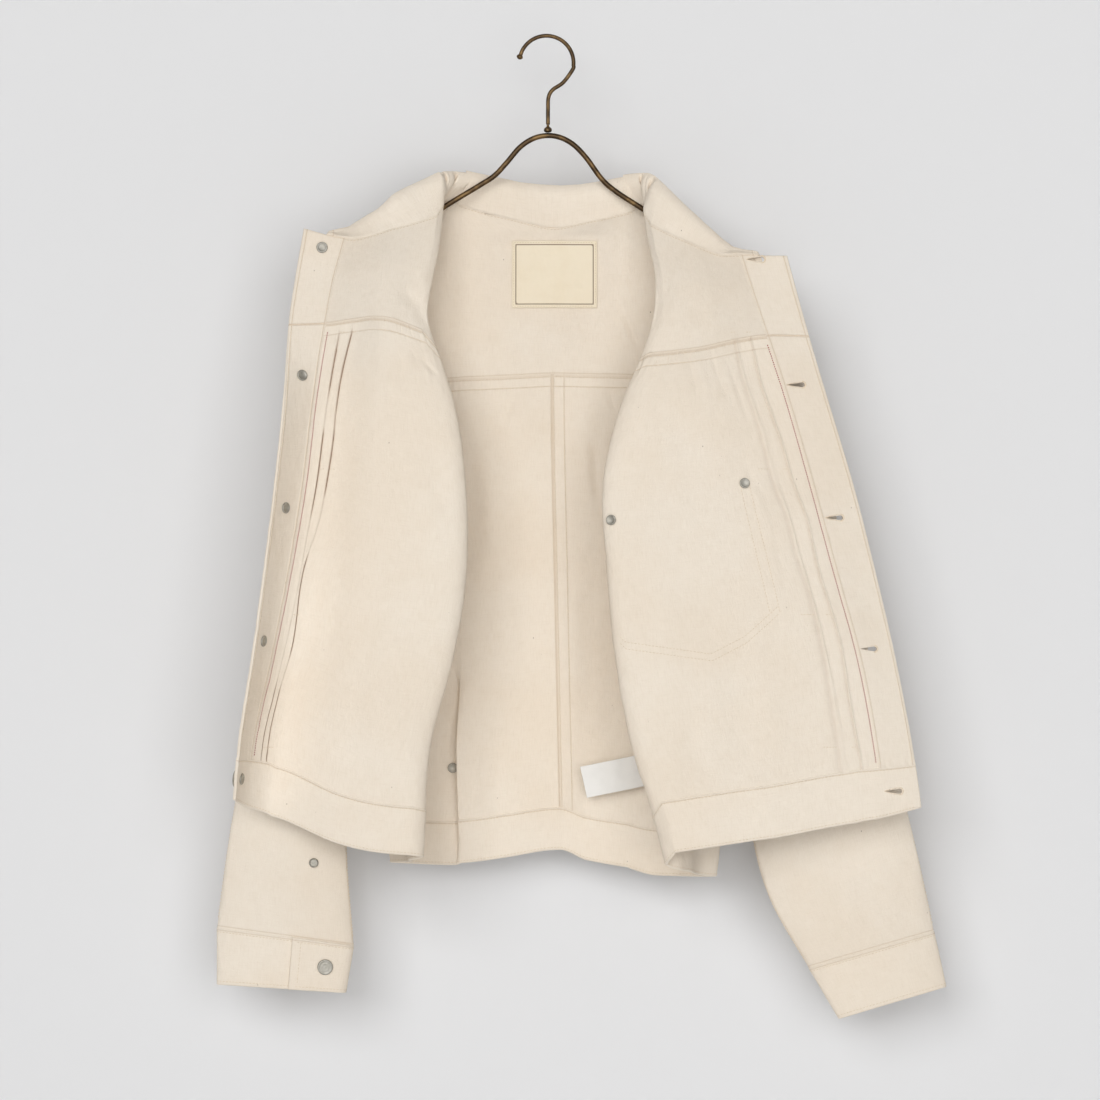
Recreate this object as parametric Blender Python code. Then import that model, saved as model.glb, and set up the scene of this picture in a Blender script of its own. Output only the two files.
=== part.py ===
"""An ecru pleated denim jacket on a wire hanger, both fronts folded back outwards.

Run with: blender --background --python part.py

The origin is the inner top of the hanger's hook. X runs to the right, Y away from the viewer and Z up.
All tables are in millimetres, as the jacket is seen square-on in the hanger's plane: x to the right,
drop straight down from the origin and y behind the hanger. placed() turns such a point into the part's
frame, because what lies nearer than the hanger looks larger than it is.

The body is one surface, body(station, drop). At each drop a horizontal line of cloth runs from the left
free edge, round both fronts and the back, to the right free edge, through the stations named below.
Every cut piece is a region of that surface, made into a closed wall.
"""

from math import cos, pi, sin

import bmesh
import bpy
import numpy as np
from mathutils import Vector

MM = 0.001
SEAM_GAP = 0.3
LAID_GAP = 0.7

# The point that the tables are seen from.
VIEW_X = 4.5
VIEW_DROP = 461.0
VIEW_DISTANCE = 3300.0

# Walls.
PANEL = 1.4
PLACKET = 2.4
WAISTBAND = 2.6
COLLAR = 2.0
CUFF = 2.2
POCKET = 1.2
STRAP = 2.0
LABEL = 1.0
CARE_LABEL = 1.0

# Rows of each kind of piece, from its upper seam to its lower one.
YOKE_ROWS = 6
PANEL_ROWS = 11
WAISTBAND_ROWS = 4

# Stations round the body. The right half's mirror the left's about the centre back.
EDGE, SELVEDGE, PLEATS, FRONT, FOLD_IN, FOLD, FOLD_OUT, INNER, SIDE_FRONT, SIDE, SIDE_BACK = range(11)
TUCK_OUT, TUCK_BACK, TUCK_FRONT, BACK, CENTRE = range(11, 16)
LAST = 2 * CENTRE

PLAN_COLUMNS = (
    "drop", "edge_x", "edge_y", "selvedge_x", "selvedge_y", "pleats_x", "pleats_y", "front_x", "front_y",
    "fold_x", "fold_y", "fold_round", "inner_y", "side_x", "side_y", "side_round", "back_y", "tuck",
)  # fmt: skip

# A row for each height. x is measured outwards from the origin's line, so both sides read alike.
LEFT_PLAN = (
    (140, 212, -29, 171, -26, 154, -24, 124, -21, 90.5, -12, 3.5, -4.0, 96.0, 4, 4.5, 15, 0.0),
    (150, 214, -30, 173, -28, 157, -26, 128, -24, 91.8, -14, 3.5, -5.0, 101, 3, 5.5, 16, 0.0),
    (165, 216, -33, 176, -31, 160, -29, 134, -27, 93.3, -17, 4.0, -9.0, 120.4, 2, 6.5, 18, 0.0),
    (180, 218.6, -36, 178.8, -34, 162, -32, 140, -30, 94.9, -20, 4.0, -12, 145.6, 1, 7.0, 21, 0.0),
    (215, 224.7, -40, 188.5, -38, 167, -37, 146, -38, 101.3, -27, 4.5, -15, 199, 1, 8.0, 25, 0.0),
    (250, 230, -46, 195.3, -44, 171, -44, 148, -45, 106.8, -34, 5.0, -18, 200, 2, 9.0, 29, 0.0),
    (290, 233.3, -56, 202.6, -46, 177, -48, 150, -50, 94.5, -40, 6.0, -20, 189, 5, 10, 31, 0.0),
    (320, 235.2, -70, 207.2, -48, 183, -46, 152, -53, 84.5, -45, 7.0, -22, 181, 8, 10, 33, 0.0),
    (400, 243.4, -78, 217, -50, 192, -46, 155, -58, 71.9, -52, 8.0, -24, 171, 12, 11, 35, 0.0),
    (480, 253, -84, 230.5, -52, 208, -44, 160, -62, 71.0, -57, 9.0, -27, 166, 14, 12, 36, 0.0),
    (560, 264, -89, 246.3, -54, 225, -42, 168, -64, 83.9, -61, 9.0, -30, 157, 15, 12, 36, 0.15),
    (640, 276, -92, 263.3, -56, 240, -42, 176, -66, 104.3, -64, 9.0, -34, 149, 16, 12, 37, 1.0),
    (700, 281, -88, 268, -56, 246, -43, 182, -67, 108.4, -66, 9.0, -36, 143, 16, 12, 38, 0.7),
    (760, 283, -86, 271, -56, 249, -44, 184, -68, 111.0, -67, 9.0, -37, 136, 16, 12, 38, 0.15),
)
RIGHT_PLAN = (
    (140, 202, -25, 160, -24, 143, -23, 115, -20, 86.5, -12, 3.5, -4.0, 92.5, 4, 4.5, 15, 0.0),
    (150, 205, -27, 163, -26, 146, -25, 118, -22, 88.5, -14, 3.5, -5.0, 97.5, 3, 5.5, 16, 0.0),
    (165, 209, -30, 167, -29, 150, -28, 122, -25, 90.5, -17, 4.0, -9.0, 116.0, 2, 6.5, 18, 0.0),
    (180, 213.4, -32, 170.5, -32, 153, -30, 126, -28, 93.0, -20, 4.0, -12, 140.5, 1, 7.0, 21, 0.0),
    (215, 223, -36, 180.8, -37, 159, -37, 132, -36, 99.8, -26, 4.5, -15, 193, 1, 8.0, 25, 0.0),
    (250, 232.6, -40, 192.5, -42, 168, -42, 136, -43, 98.4, -34, 5.0, -18, 204, 2, 9.0, 29, 0.0),
    (290, 244.1, -42, 206.2, -45, 180, -46, 142, -49, 85.7, -42, 6.0, -22, 194, 5, 10, 31, 0.0),
    (320, 253.1, -44, 216, -47, 189, -49, 146, -54, 72.5, -47, 6.5, -24, 187, 8, 10, 33, 0.0),
    (400, 277, -44, 239, -50, 211, -53, 152, -61, 52.5, -56, 6.5, -28, 178, 12, 11, 35, 0.0),
    (480, 297.4, -44, 260.6, -52, 233, -56, 168, -65, 56.5, -61, 7.5, -32, 173, 14, 12, 36, 0.0),
    (560, 316, -46, 282.6, -53, 254, -57, 184, -66, 64.0, -64, 9.0, -34, 168, 15, 12, 36, 0.0),
    (640, 331.3, -48, 297.5, -54, 270, -57, 198, -66, 79.0, -64, 9.0, -34, 163, 16, 12, 37, 0.0),
    (700, 339.5, -50, 305, -54, 280, -57, 208, -65, 98.0, -60, 9.0, -32, 159, 16, 12, 38, 0.0),
    (760, 342, -50, 311, -54, 284, -56, 212, -64, 113.5, -57, 9.0, -31, 153, 16, 12, 38, 0.0),
)
CENTRE_COLUMNS = ("drop", "x", "y")
CENTRE_PLAN = (
    (140, 7.0, 20),
    (180, 6.8, 24),
    (250, 6.0, 29),
    (320, 5.6, 32),
    (480, 8.5, 35),
    (640, 12.0, 37),
    (760, 14.5, 38),
)
TUCK_X = 78.0

# Seam lines: each one's drop at these stations, on the left half and on the right one.
SEAM_AT = (EDGE, SELVEDGE, PLEATS, FRONT, FOLD, INNER, SIDE, BACK, CENTRE)
COLLAR_SEAM = {
    "left": (171.5, 180.5, 179.3, 171.5, 149.5, 146.0, 147.0, 158.5, 171.0),
    "right": (196.0, 195.3, 194.6, 183.0, 156.0, 150.0, 148.0, 163.0, 171.0),
}
YOKE_SEAM = {
    "left": (258.5, 257.0, 253.5, 251.5, 279.0, 292.0, 303.0, 304.5, 302.5),
    "right": (268.5, 268.0, 271.5, 279.0, 289.0, 296.0, 303.0, 303.0, 302.5),
}
WAIST_SEAM = {
    "left": (648.5, 649.0, 655.0, 681.0, 694.5, 698.5, 702.0, 699.0, 692.0),
    "right": (653.5, 657.0, 660.0, 672.0, 699.5, 706.0, 711.0, 700.0, 692.0),
}
HEM = {
    "left": (686.0, 693.0, 701.0, 726.5, 738.0, 741.0, 742.5, 738.5, 731.0),
    "right": (693.0, 702.0, 707.0, 720.0, 745.0, 751.0, 755.0, 740.0, 731.0),
}

# Armholes: the opening round each side station, from the shoulder's tip down to the armpit.
ARMHOLE_TOP = 229.0
ARMHOLE_END = 452.0
ARMHOLE_HALF_STATION = 0.8
ARMHOLE_EASE = 1.9

# The collar: a stand up from the collar seam, a roll along its top and a fall behind. Left to right.
COLLAR_COLUMNS = ("station", "roll_x", "roll_drop", "roll_y", "fall_x", "fall_drop", "fall_y")
COLLAR_TABLE = (
    (0.55, -194.5, 174.8, -32.5, -189, 231, -25),
    (1.0, -181.0, 172.0, -31.0, -182, 235, -26),
    (2.0, -170.0, 166.5, -28.5, -161, 226, -27),
    (3.0, -147.0, 151.5, -25.0, -138, 208, -26),
    (3.6, -131.0, 138.5, -20.0, -124, 186, -22),
    (4.0, -106.0, 126.5, -12.0, -115, 153, -8),
    (5.0, -95.0, 122.5, -6.0, -110, 144, 0),
    (7.0, -88.0, 121.0, 2.0, -106, 141, 8),
    (9.0, -79.0, 121.5, 9.0, -94, 146, 21),
    (11.0, -66.0, 122.5, 14.0, -75, 162, 26),
    (14.0, -47.0, 125.5, 17.0, -55, 174, 29),
    (14.5, -22.0, 131.0, 20.0, -25, 185, 33),
    (15.0, 5.0, 133.5, 22.0, 6, 190, 35),
    (15.5, 31.0, 132.8, 20.0, 34, 186, 33),
    (16.0, 57.0, 128.5, 17.0, 61, 174, 29),
    (19.0, 71.0, 124.0, 14.0, 79, 162, 26),
    (21.0, 86.0, 122.5, 9.0, 99, 146, 21),
    (23.0, 95.0, 123.5, 2.0, 108, 143, 8),
    (25.0, 101.5, 128.0, -6.0, 114, 149, 0),
    (26.0, 107.0, 133.0, -12.0, 121, 160, -8),
    (26.4, 120.0, 145.5, -18.0, 127, 188, -22),
    (27.0, 137.0, 161.5, -23.0, 132, 212, -27),
    (28.0, 163.0, 184.5, -29.5, 156, 238, -31),
    (29.0, 176.0, 190.5, -32.5, 177, 254, -33),
    (29.42, 190.5, 193.0, -33.5, 194, 256, -33),
)
COLLAR_START = 0.55
COLLAR_END = 29.42
ROLL_ROUND = 2.6
COLLAR_RISE = 2.0

# Sleeves, from the armhole to the cuff seam. Outer is the edge away from the body and inner the underarm.
SLEEVE_COLUMNS = ("share", "outer_x", "outer_drop", "inner_x", "inner_drop", "y", "half_depth")
SLEEVES = {
    "left": (
        (0.12, -213.0, 250.0, -181.5, 470.0, 3, 13),
        (0.3, -226.0, 345.0, -184.0, 545.0, 0, 15),
        (0.5, -245.0, 480.0, -183.0, 622.0, -2, 15),
        (0.7, -264.5, 610.0, -180.0, 690.0, -2, 14),
        (0.87, -284.4, 726.0, -178.5, 750.0, -1, 13),
        (1.0, -294.3, 800.2, -172.8, 816.3, 0, 11),
    ),
    "right": (
        (0.12, 217.0, 250.0, 188.5, 470.0, 3, 13),
        (0.3, 240.0, 345.0, 191.0, 545.0, 2, 15),
        (0.5, 273.0, 480.0, 188.0, 625.0, 2, 15),
        (0.7, 304.0, 610.0, 186.0, 706.0, 3, 14),
        (0.87, 334.5, 735.0, 203.5, 775.0, 4, 13),
        (1.0, 349.2, 803.7, 237.6, 836.1, 5, 11),
    ),
}
CUFF_COLUMNS = ("outer_x", "outer_drop", "inner_x", "inner_drop", "y", "half_depth")
CUFFS = {
    "left": ((-294.3, 800.2, -172.8, 816.3, 0, 11), (-294.3, 852.3, -180.0, 859.5, 0, 10)),
    "right": ((349.2, 803.7, 237.6, 836.1, 5, 11), (360.5, 854.5, 265.5, 882.9, 6, 10)),
}
LAP_START = {"left": 212.0, "right": 32.0}
LAP = 52.0
HALF_SLEEVE_ROWS = 9
HALF_SLEEVE_COLUMNS = 15

# Metal and labels. A place on the body is a station and a drop; one on a sleeve is degrees round it and a share down.
TACKS = ((0.50, 189.0), (0.52, 304.2), (0.50, 423.0), (0.41, 542.7), (0.42, 666.9))
TACK_BACK_RADIUS = 5.0
TACK_HEAD_RADIUS = 8.0
TACK_SHANK = 1.7
TACK_POST = 1.3
TACK_HOLE = 1.7
RIVET_RADIUS = 4.6
RIVET_HEAD = 4.8
POCKET_RIVETS = ((27.46, 401.0), (25.95, 434.0))
POCKET_STATIONS = (25.6, 26.0, 26.33, 26.67, 27.0, 27.5, 27.58)
POCKET_MOUTH = (427.0, 394.0)
POCKET_POINT_AT = (25.6, 26.689, 27.58)
POCKET_POINT = (546.0, 563.0, 517.0)
POCKET_LIFT = 0.9
POCKET_RIVET_RISE = 1.5
STRAP_RIVETS = {"left": 11.45, "right": 18.55}
STRAP_DROP = 657.0
STRAP_HALF_WIDTH = 16.0
STRAP_REACH = 100.0
STRAP_AT = np.array((-1, -0.86, -0.5, 0, 0.5, 0.86, 1))
STRAP_TAPER = np.array((0.35, 1, 1, 1, 1, 1, 0.35))
STRAP_Y = (41.6, 39.6)
LABEL_X = (-29.7, 46.8)
LABEL_DROP = (182.7, 243.0)
CARE_FREE = ((31.5, 656.0), (37.8, 684.0))
CARE_SEWN = ((104.0, 641.0), (110.0, 669.0))
CARE_FREE_Y = 21.0
VENT_RIVET = {"left": (244.0, 0.868), "right": (116.0, 0.868)}
CUFF_BUTTON = {"left": (231.0, 0.5), "right": (51.0, 0.5)}

# Hanger.
HOOK_RADIUS = 24.4
HOOK_X = 1.3
HOOK_WIRE = 1.8
HOOK_BEND = (163.0, -14.0)
# x and drop, from the end of the hook's round down its shaft.
HOOK_SHAFT = ((16.4, 40.2), (7.0, 46.8), (3.2, 53.5), (2.7, 65.0), (2.7, 78.0))
BALL_REACH = (4.2, 3.7, 2.7, 1.6, 0.6)
BALL_RADII = (0.5, 1.7, 2.7, 2.9, 2.4)
NECK_RADIUS = 1.3
NECK_X = 2.6
BEAD = ((0.0, 1.6), (0.6, 3.0), (2.2, 3.6), (4.0, 3.0), (5.0, 1.7), (5.6, NECK_RADIUS), (7.0, NECK_RADIUS))
ARM_WIRE = 2.4
ARM_APEX = 88.0
# x and drop, from the left tip over the top to the right tip.
ARM_ROUTE = (
    (-186.0, 213.5),
    (-172.0, 205.2),
    (-139.0, 183.5),
    (-92.0, 153.0),
    (-60.0, 133.5),
    (-46.0, 124.5),
    (-35.0, 113.0),
    (-22.5, 98.5),
    (-10.0, 90.5),
    (2.5, ARM_APEX),
    (14.5, 90.0),
    (26.0, 96.5),
    (37.5, 108.5),
    (51.0, 127.0),
    (64.0, 138.5),
    (87.0, 153.5),
    (132.0, 183.0),
    (172.0, 209.2),
    (186.1, 217.9),
)


# ---------------------------------------------------------------- curves and surfaces


def placed(x, drop, y):
    """A point of the tables, in the part's frame and in millimetres."""
    nearer = 1 + np.asarray(y) / VIEW_DISTANCE
    return np.stack(
        np.broadcast_arrays(
            VIEW_X + (x - VIEW_X) * nearer,
            y,
            -VIEW_DROP - (drop - VIEW_DROP) * nearer,
        ),
        axis=-1,
    )


def smooth(knots, values, at):
    """A smooth curve through values at the knots, with no overshoot between two equal ones."""
    knots = np.asarray(knots, float)
    values = np.asarray(values, float)
    at = np.clip(at, knots[0], knots[-1])
    steps = np.diff(knots)
    slopes = np.diff(values) / steps
    tangents = np.empty(len(knots))
    tangents[0] = slopes[0]
    tangents[-1] = slopes[-1]
    tangents[1:-1] = (slopes[:-1] * steps[1:] + slopes[1:] * steps[:-1]) / (steps[1:] + steps[:-1])
    span = np.clip(np.searchsorted(knots, at, side="right") - 1, 0, len(knots) - 2)
    length = steps[span]
    t = (at - knots[span]) / length
    start = values[span]
    end = values[span + 1]
    return (
        start * (2 * t**3 - 3 * t**2 + 1)
        + end * (3 * t**2 - 2 * t**3)
        + tangents[span] * length * (t**3 - 2 * t**2 + t)
        + tangents[span + 1] * length * (t**3 - t**2)
    )


def column(table, columns, name, drop):
    """A named column of a plan table, at any drop."""
    index = columns.index(name)
    return smooth([row[0] for row in table], [row[index] for row in table], drop)


def half_stations(table, outward, drop):
    """The (x, y) of one half's stations at each drop, from the free edge to the back."""

    def at(name):
        return column(table, PLAN_COLUMNS, name, drop)

    fold_in = at("fold_x") + 1.2 * at("fold_round")
    side_in = at("side_x") - 1.3 * at("side_round")
    tuck = at("tuck")
    tuck_x = np.minimum(TUCK_X, at("side_x") - 24)
    back_y = at("back_y")
    spread = np.clip((at("side_x") - 77) / 60, 0.4, 1)
    x = (
        at("edge_x"),
        at("selvedge_x"),
        at("pleats_x"),
        at("front_x"),
        fold_in,
        at("fold_x"),
        fold_in,
        (fold_in + side_in) / 2,
        side_in,
        at("side_x"),
        side_in,
        tuck_x + 20 * spread,
        tuck_x + (9 - 22 * tuck) * spread,
        tuck_x - (4 - 5 * tuck) * spread,
        tuck_x - (38 - 10 * tuck) * spread - 4,
    )
    y = (
        at("edge_y"),
        at("selvedge_y"),
        at("pleats_y"),
        at("front_y"),
        at("fold_y") - at("fold_round"),
        at("fold_y"),
        at("fold_y") + at("fold_round"),
        at("inner_y"),
        at("side_y") - at("side_round"),
        at("side_y"),
        at("side_y") + at("side_round"),
        back_y - 2 + 4 * tuck,
        back_y - 1 - 1 * tuck,
        back_y - 12 * tuck,
        back_y - 2 * tuck,
    )
    return [(outward * px, py) for px, py in zip(x, y)]


def all_stations(drop):
    """Every station's (x, y) at each drop, from the left free edge to the right one."""
    left = half_stations(LEFT_PLAN, -1, drop)
    right = half_stations(RIGHT_PLAN, 1, drop)
    centre = (
        column(CENTRE_PLAN, CENTRE_COLUMNS, "x", drop),
        column(CENTRE_PLAN, CENTRE_COLUMNS, "y", drop),
    )
    return np.array([np.stack(point, axis=-1) for point in (*left, centre, *right[::-1])])


def through(points, index, t):
    """The centripetal curve through four neighbouring stations of each line, t from the second to the third."""
    rows = np.arange(len(index))
    p0 = points[np.clip(index - 1, 0, LAST), rows]
    p1 = points[index, rows]
    p2 = points[index + 1, rows]
    p3 = points[np.clip(index + 2, 0, LAST), rows]
    k01 = np.maximum(np.linalg.norm(p1 - p0, axis=1), 0.5)[:, None] ** 0.5
    k12 = np.maximum(np.linalg.norm(p2 - p1, axis=1), 0.5)[:, None] ** 0.5
    k23 = np.maximum(np.linalg.norm(p3 - p2, axis=1), 0.5)[:, None] ** 0.5
    m1 = (p2 - p1) + k12 * ((p1 - p0) / k01 - (p2 - p0) / (k01 + k12))
    m2 = (p2 - p1) + k12 * ((p3 - p2) / k23 - (p3 - p1) / (k12 + k23))
    t = t[:, None]
    return (
        p1 * (2 * t**3 - 3 * t**2 + 1)
        + p2 * (3 * t**2 - 2 * t**3)
        + m1 * (t**3 - 2 * t**2 + t)
        + m2 * (t**3 - t**2)
    )


def body(station, drop):
    """The middle of the body's cloth, as points in the part's frame. Even steps between stations are even lengths."""
    station, drop = np.broadcast_arrays(np.asarray(station, float), np.asarray(drop, float))
    flat_station = np.clip(station.ravel(), 0, LAST)
    flat_drop = drop.ravel()
    points = all_stations(flat_drop)
    index = np.minimum(flat_station.astype(int), LAST - 1)
    fraction = flat_station - index
    steps = np.linspace(0, 1, 9)
    line = np.array([through(points, index, np.full(len(index), t)) for t in steps])
    lengths = np.linalg.norm(np.diff(line, axis=0), axis=2)
    run = np.vstack([np.zeros(len(index)), np.cumsum(lengths, axis=0)])
    run = run / run[-1]
    span = np.clip((run < fraction).sum(axis=0) - 1, 0, len(steps) - 2)
    rows = np.arange(len(index))
    t = steps[span] + (fraction - run[span, rows]) / (run[span + 1, rows] - run[span, rows]) / (len(steps) - 1)
    flat = through(points, index, t)
    return placed(flat[:, 0], flat_drop, flat[:, 1]).reshape(*station.shape, 3)


def seam(line, station):
    """The drop of a seam line at any station."""
    left = list(zip(SEAM_AT, line["left"]))
    right = [(LAST - at, drop) for at, drop in zip(SEAM_AT, line["right"])][::-1][1:]
    knots, values = zip(*(left + right))
    return smooth(knots, values, station)


def outward(surface, station, drop):
    """The body's unit normal, pointing to the garment's outside."""
    along = surface(station + 0.02, drop) - surface(station - 0.02, drop)
    down = surface(station, drop + 0.5) - surface(station, drop - 0.5)
    normal = np.cross(along, down)
    return normal / np.linalg.norm(normal, axis=-1, keepdims=True)


def armhole(station, drop, ease):
    """How far, in stations, the armhole's edge lies from the side at this drop. 0 outside it."""
    middle = (ARMHOLE_TOP + ARMHOLE_END) / 2
    half = (ARMHOLE_END - ARMHOLE_TOP) / 2 + ease
    across = np.clip(1 - ((drop - middle) / half) ** 2, 0, 1) ** 0.5
    return (ARMHOLE_HALF_STATION + 0.08 * ease) * across


# ---------------------------------------------------------------- meshes


def material(name, colour, roughness, metallic=0.0):
    made = bpy.data.materials.new(name)
    made.use_nodes = True
    shader = made.node_tree.nodes["Principled BSDF"]
    shader.inputs["Base Color"].default_value = (*colour, 1.0)
    shader.inputs["Roughness"].default_value = roughness
    shader.inputs["Metallic"].default_value = metallic
    made.diffuse_color = (*colour, 1.0)
    return made


def add_mesh(name, points, faces, finish):
    """A closed mesh object from points in millimetres, with its faces turned outwards."""
    mesh = bpy.data.meshes.new(name)
    mesh.from_pydata([tuple(point) for point in np.asarray(points, float) * MM], [], faces)
    shape = bmesh.new()
    shape.from_mesh(mesh)
    bmesh.ops.recalc_face_normals(shape, faces=shape.faces)
    shape.to_mesh(mesh)
    shape.free()
    mesh.shade_smooth()
    mesh.set_sharp_from_angle(angle=0.9)
    mesh.materials.append(finish)
    made = bpy.data.objects.new(name, mesh)
    bpy.context.scene.collection.objects.link(made)
    return made


def quads(first, rows, columns, wrap_rows=False):
    """The grid's quads, as corner numbers starting at first."""
    last = rows if wrap_rows else rows - 1
    return [
        (
            first + i * columns + j,
            first + (i + 1) % rows * columns + j,
            first + (i + 1) % rows * columns + j + 1,
            first + i * columns + j + 1,
        )
        for i in range(last)
        for j in range(columns - 1)
    ]


def wall(name, front, back, finish, wrap=False):
    """A closed wall between two grids of points that match. wrap joins its first row to its last."""
    rows, columns = front.shape[:2]
    count = rows * columns
    faces = quads(0, rows, columns, wrap) + quads(count, rows, columns, wrap)
    last = rows if wrap else rows - 1
    for i in range(last):
        here = i * columns
        there = (i + 1) % rows * columns
        for j in (0, columns - 1):
            faces.append((here + j, there + j, count + there + j, count + here + j))
    if not wrap:
        for j in range(columns - 1):
            for i in (0, (rows - 1) * columns):
                faces.append((i + j, i + j + 1, count + i + j + 1, count + i + j))
    triangles = [half for a, b, c, d in faces for half in ((a, b, c), (a, c, d))]
    return add_mesh(name, np.vstack([front.reshape(-1, 3), back.reshape(-1, 3)]), triangles, finish)


def spread_out(marks, counts):
    """Even steps between marks, counts of them in each span."""
    spans = [np.linspace(a, b, n, endpoint=False) for a, b, n in zip(marks[:-1], marks[1:], counts)]
    return np.append(np.concatenate(spans), marks[-1])


def body_piece(name, stations, top, bottom, rows, thickness, finish, lift=0.0, relief=None, trim=None):
    """A wall on the body between two seam lines. relief raises its inside, and trim moves its stations."""
    station = np.repeat(np.asarray(stations)[:, None], rows, axis=1)
    share = np.linspace(0, 1, rows)[None, :]
    drop = top(station) + (bottom(station) - top(station)) * share
    drop[:, 0] += SEAM_GAP / 2
    drop[:, -1] -= SEAM_GAP / 2
    if trim is not None:
        station = trim(station, drop)
    middle = body(station, drop)
    normal = outward(body, station, drop)
    middle = middle + normal * lift
    if relief is not None:
        middle = middle - normal * relief(station, drop)[..., None]
    half = normal * thickness / 2
    return wall(name, middle - half, middle + half, finish)


def station_gap(station, drop):
    """Half a seam's gap, in stations."""
    step = body(station + 0.1, drop) - body(station - 0.1, drop)
    return 0.2 * SEAM_GAP / 2 / np.linalg.norm(step, axis=-1)


def tube(name, points, radii, sides, finish):
    """A closed round bar through the points, its radius given at each, with flat ends."""
    points = np.asarray(points, float)
    ahead = np.gradient(points, axis=0)
    ahead /= np.linalg.norm(ahead, axis=1, keepdims=True)
    across = np.cross(ahead, (0.0, 1.0, 0.0))
    across /= np.linalg.norm(across, axis=1, keepdims=True)
    third = np.cross(ahead, across)
    turn = np.linspace(0, 2 * pi, sides, endpoint=False)
    rings = points[:, None] + np.asarray(radii)[:, None, None] * (
        across[:, None] * np.cos(turn)[None, :, None] + third[:, None] * np.sin(turn)[None, :, None]
    )
    faces = []
    for i in range(len(points) - 1):
        for j in range(sides):
            here = i * sides
            ahead_of = (j + 1) % sides
            faces.append((here + j, here + sides + j, here + sides + ahead_of, here + ahead_of))
    faces.append(tuple(range(sides)))
    faces.append(tuple((len(points) - 1) * sides + j for j in range(sides)))
    return add_mesh(name, rings.reshape(-1, 3), faces, finish)


def turned(name, centre, axis, profile, sides, finish):
    """A round piece turned about an axis, from (distance along it, radius) pairs. Ends are flat discs."""
    axis = Vector(axis).normalized()
    frame = axis.to_track_quat("Z", "Y").to_matrix()
    points = []
    for along, radius in profile:
        for k in range(sides):
            turn = 2 * pi * k / sides
            points.append(Vector(centre) + frame @ Vector((radius * cos(turn), radius * sin(turn), along)))
    faces = []
    for i in range(len(profile) - 1):
        for k in range(sides):
            beside = (k + 1) % sides
            faces.append((i * sides + k, i * sides + beside, (i + 1) * sides + beside, (i + 1) * sides + k))
    faces.append(tuple(range(sides)))
    faces.append(tuple((len(profile) - 1) * sides + k for k in range(sides)))
    return add_mesh(name, points, faces, finish)


def pierce(piece, centre, axis, radius, reach):
    """A round hole through a piece, cut by a hidden pin."""
    cutter = turned(
        piece.name + "_hole", centre, axis, ((-reach, radius), (reach, radius)), 10, piece.data.materials[0]
    )
    cutter.hide_render = True
    cutter.display_type = "WIRE"
    cut = piece.modifiers.new("Hole", "BOOLEAN")
    cut.operation = "DIFFERENCE"
    cut.object = cutter
    return cutter


# ---------------------------------------------------------------- body pieces

PLEAT_RISE = 1.6
PLEAT_START = 0.9
PLEAT_PITCH = 1.05
PLEAT_LIP = 0.12
PLEAT_SLOPE = 0.8


def pleats(station, drop):
    """How far the two pleats lift the cloth inwards: a lip beside each slit, sloping off towards the side."""
    half = np.where(station < CENTRE, station, LAST - station)
    across = (half - SELVEDGE) / (PLEATS - SELVEDGE) * 3
    pleated = (across > PLEAT_START) & (across < 3)
    saw = np.where(pleated, (across - PLEAT_START) % PLEAT_PITCH, 0)
    slope = np.clip(1 - (saw - PLEAT_LIP) / PLEAT_SLOPE, 0, 1)
    rise = np.where(saw < PLEAT_LIP, saw / PLEAT_LIP, slope)
    return PLEAT_RISE * np.where(pleated, rise, 0)


def trim_placket(station, drop):
    """Stops a placket half a seam gap short of its front."""
    half = np.where(station < CENTRE, station, LAST - station)
    moved = np.where(half >= SELVEDGE - 1e-6, half - station_gap(station, drop), half)
    return np.where(station < CENTRE, moved, LAST - moved)


def mirrored(stations):
    return LAST - np.asarray(stations)[::-1]


def collar_line(station):
    return seam(COLLAR_SEAM, station)


def yoke_line(station):
    return seam(YOKE_SEAM, station)


def waist_line(station):
    return seam(WAIST_SEAM, station)


def hem_line(station):
    return seam(HEM, station)


def trim_front(station, drop):
    """Ends a front piece half a seam gap from its placket and its side, and at the armhole's edge."""
    half = np.where(station < CENTRE, station, LAST - station)
    gap = station_gap(station, drop)
    end = SIDE - np.maximum(armhole(station, drop, ARMHOLE_EASE), gap)
    start = SELVEDGE + gap
    near_side = half > FOLD_OUT
    moved = np.where(near_side, FOLD_OUT + (half - FOLD_OUT) / (SIDE - FOLD_OUT) * (end - FOLD_OUT), half)
    moved = np.where(half <= SELVEDGE, start, moved)
    return np.where(station < CENTRE, moved, LAST - moved)


def trim_back(station, drop):
    """Ends a back piece at the side seam or armhole, and half a gap from the centre where it ends there."""
    half = np.where(station <= CENTRE, station, LAST - station)
    gap = station_gap(station, drop)
    start = SIDE + np.maximum(armhole(station, drop, ARMHOLE_EASE), gap)
    moved = np.where(half < TUCK_OUT, start + (half - SIDE) / (TUCK_OUT - SIDE) * (TUCK_OUT - start), half)
    return np.where(station <= CENTRE, moved, LAST - moved)


def trim_panel(station, drop):
    """A back panel's trim, which also stops short of the centre-back seam."""
    moved = trim_back(station, drop)
    gap = station_gap(station, drop)
    return np.where(np.abs(moved - CENTRE) < 1e-6, moved + np.sign(station.mean() - CENTRE) * gap, moved)


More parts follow.
